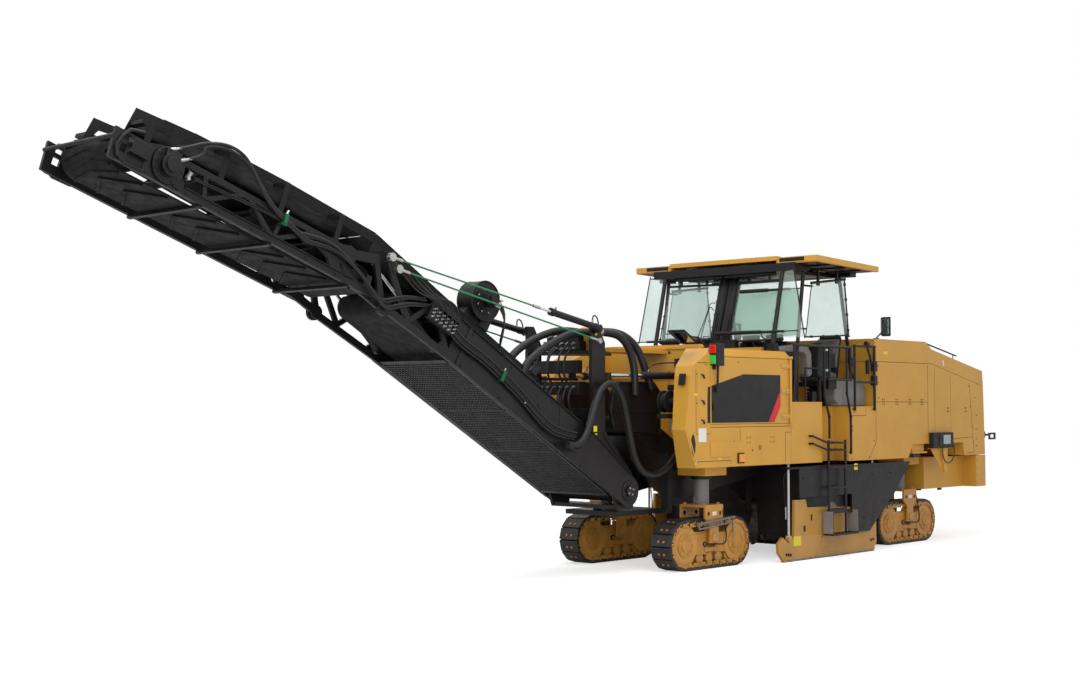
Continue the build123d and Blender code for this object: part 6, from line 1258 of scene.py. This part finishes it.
# ---------------------------------------------------------------- canopy
louvres = Piece("roof_louvres", plastic)
roof_lip = Piece("roof_trim", yellow, bevel=0.003)
# Black lining parts under the roof, and under each wing a thin black sheet of painted shade
lining_and_shade = Piece("roof_lining_and_painted_shade", black, bevel=0.004)
frames = Piece("screen_frames", black, bevel=0.001)
clips = Piece("screen_clips", plastic, bevel=0.001)
corner_panes = Piece("corner_panes", glass)
slides = Piece("slide_tubes", plastic, bevel=0.001)
for side_name, side in SIDES:
    y = widths(side)
    for i in range(12):
        louvres.box((2.388, 2.399), (side * (0.965 + 0.031 * i) - 0.006, side * (0.965 + 0.031 * i) + 0.006),
                    (4.022, 4.062))
    louvres.box((2.392, 2.399), y(0.95, 1.34), (4.018, 4.066))
    roof_lip.side([(2.41, 3.99), (3.99, 3.944), (3.99, 3.956), (2.41, 4.004)], y(1.5, 1.536))
    roof_lip.side([(2.41, 3.99), (2.45, 3.989), (2.45, 4.001), (2.41, 4.002)], y(0.95, 1.5))
    for x in (2.8, 3.2, 3.6):
        z = 4.0 - (x - 2.4) * 0.03125
        lining_and_shade.box((x - 0.02, x + 0.02), y(0.93, 1.48), (z - 0.026, z - 0.004))
    lining_and_shade.box((2.72, 3.78), y(0.1, 0.84), (3.895, 3.965))
    # Thin black sheet under the wing: painted shade, standing for the shadow on the wing's underside
    lining_and_shade.side([(2.5, 3.99), (3.93, 3.945), (3.93, 3.953), (2.5, 3.998)], y(0.96, 1.47))
    lining_and_shade.rod((2.44, side * 0.02, 3.868), (2.44, side * 0.86, 3.868), 0.026, sides=16)
    lining_and_shade.rod((2.44, side * 0.16, 3.868), (2.44, side * 0.72, 3.868), 0.034, sides=16)
    lining_and_shade.box((2.46, 2.68), y(1.02, 1.16), (3.84, 3.892))
    # Front pane: top bar on hangers, inner bar with clips, sill
    top_in, top_out = Vector((2.562, side * 0.16, 3.775)), Vector((2.42, side * 0.95, 3.775))
    low_in, low_out = Vector((2.325, side * 0.16, 2.955)), Vector((2.19, side * 0.95, 2.955))
    frames.rod(top_in, top_out, 0.016)
    frames.rod(low_in, low_out, 0.012)
    frames.rod(top_in, low_in, 0.008)
    frames.rod(top_out, low_out, 0.008)
    for share in (0.25, 0.75):
        spot = top_in.lerp(top_out, share)
        frames.box((spot.x - 0.012, spot.x + 0.012), (spot.y - 0.015, spot.y + 0.015), (spot.z, 3.895))
    for share in (0.08, 0.3, 0.52, 0.74, 0.93):
        for start, end in ((top_in, low_in), (top_out, low_out)):
            spot = start.lerp(end, share)
            clips.box((spot.x - 0.014, spot.x + 0.014), (spot.y - 0.014, spot.y + 0.014),
                      (spot.z - 0.008, spot.z + 0.008))
    # Side screen: a bar round three edges, hung from the roof
    line = side * 1.19
    frames.rod((2.8, line, 3.742), (3.68, line, 3.845), 0.018).rod((3.66, line, 3.84), (3.76, line, 3.06), 0.011)
    frames.rod((2.66, line, 3.0), (3.77, line, 3.06), 0.011).rod((2.82, line, 3.74), (2.66, line, 3.0), 0.006)
    for x, z in ((2.98, 3.765), (3.46, 3.82)):
        frames.box((x - 0.014, x + 0.014), (line - 0.016, line + 0.016), (z, 3.95))
        frames.box((x - 0.03, x + 0.03), (line - 0.012, line + 0.012), (z - 0.05, z + 0.02))
    for x, z in ((3.668, 3.77), (3.695, 3.56), (3.722, 3.35), (3.75, 3.13), (2.8, 3.008), (3.1, 3.024), (3.45, 3.043),
                 (3.72, 3.058)):
        clips.box((x - 0.012, x + 0.012), (line - 0.016, line + 0.016), (z - 0.016, z + 0.016))
    frames.box((3.72, 3.78), (line - 0.012, line + 0.012), (3.035, 3.056))
    # Corner pane outside the front post
    corner_panes.slab([(2.2, side * 1.025, 2.98), (2.295, side * 1.405, 2.98), (2.33, side * 1.215, 3.9),
                       (2.405, side * 1.025, 3.9)], (0.006, side * -0.002, 0))
    frames.rod((2.292, side * 1.412, 2.965), (2.328, side * 1.22, 3.93), 0.008)
    frames.rod((2.33, side * 1.215, 3.9), (2.405, side * 1.02, 3.9), 0.008)
    # Slide tubes of the front panes, above and below
    tubes = [(3.062, 2.165, 0.06, 0.8, 1.16, 1.4), (3.64, 2.365, 0.33, 0.78, 1.13, 1.33)]
    for z, front, near, mid, far, tip in tubes if side < 0 else [(2.98, 2.165, 0.06, 0.8, 1.16, 1.4)]:
        slides.rod((front, side * near, z), (front, side * mid, z), 0.026, sides=18)
        slides.rod((front, side * mid, z), (front, side * far, z), 0.017, sides=16)
        slides.rod((front, side * far, z), (front, side * tip, z), 0.008, sides=10)
        for spot in (near + 0.06, far - 0.05):
            frames.box((front, front + 0.1), (side * spot - 0.01, side * spot + 0.01), (z - 0.014, z + 0.014))
    hoses(f"column_leads_{side_name}", "chassis",
          [[(2.262 + 0.012 * i, side * (0.045 + 0.035 * i), 2.9), (2.35, side * (0.05 + 0.03 * i), 3.12 + 0.05 * i),
            (2.47 + 0.01 * i, side * (0.045 + 0.03 * i), 3.5), (2.575, side * (0.06 + 0.02 * i), 3.86)]
           for i in range(3)], 0.008)
inner_pane = Piece("inner_pane", deep_glass)
inner_pane.slab([(2.615, -0.04, 3.02), (2.615, -1.12, 3.02), (2.615, -1.12, 3.67), (2.615, -0.04, 3.67)],
                (0.006, 0, 0))
hoses("column_cables", "chassis", [[(2.44, 0.15, 3.5), (2.38, 0.19, 3.54), (2.3, 0.2, 3.34), (2.22, 0.3, 3.02),
                                    (2.2, 0.33, 2.9)],
                                   [(2.4, 0.15, 3.4), (2.36, 0.17, 3.47), (2.32, 0.18, 3.4), (2.24, 0.24, 3.1),
                                    (2.2, 0.25, 2.9)]], 0.006)
# Middle housing between the columns, with grips
housing = Piece("column_housing", plastic, bevel=0.008)
housing.box((2.21, 2.27), (-0.34, 0.3), (2.866, 2.975)).box((2.6, 2.69), (-0.3, 0.3), (3.79, 3.889))
for y in (-0.22, 0.16):
    housing.bent([(2.23, y - 0.05, 2.97), (2.23, y - 0.05, 3.03), (2.23, y + 0.05, 3.03), (2.23, y + 0.05, 2.97)],
                 0.006)

for piece in MADE:
    piece.done()
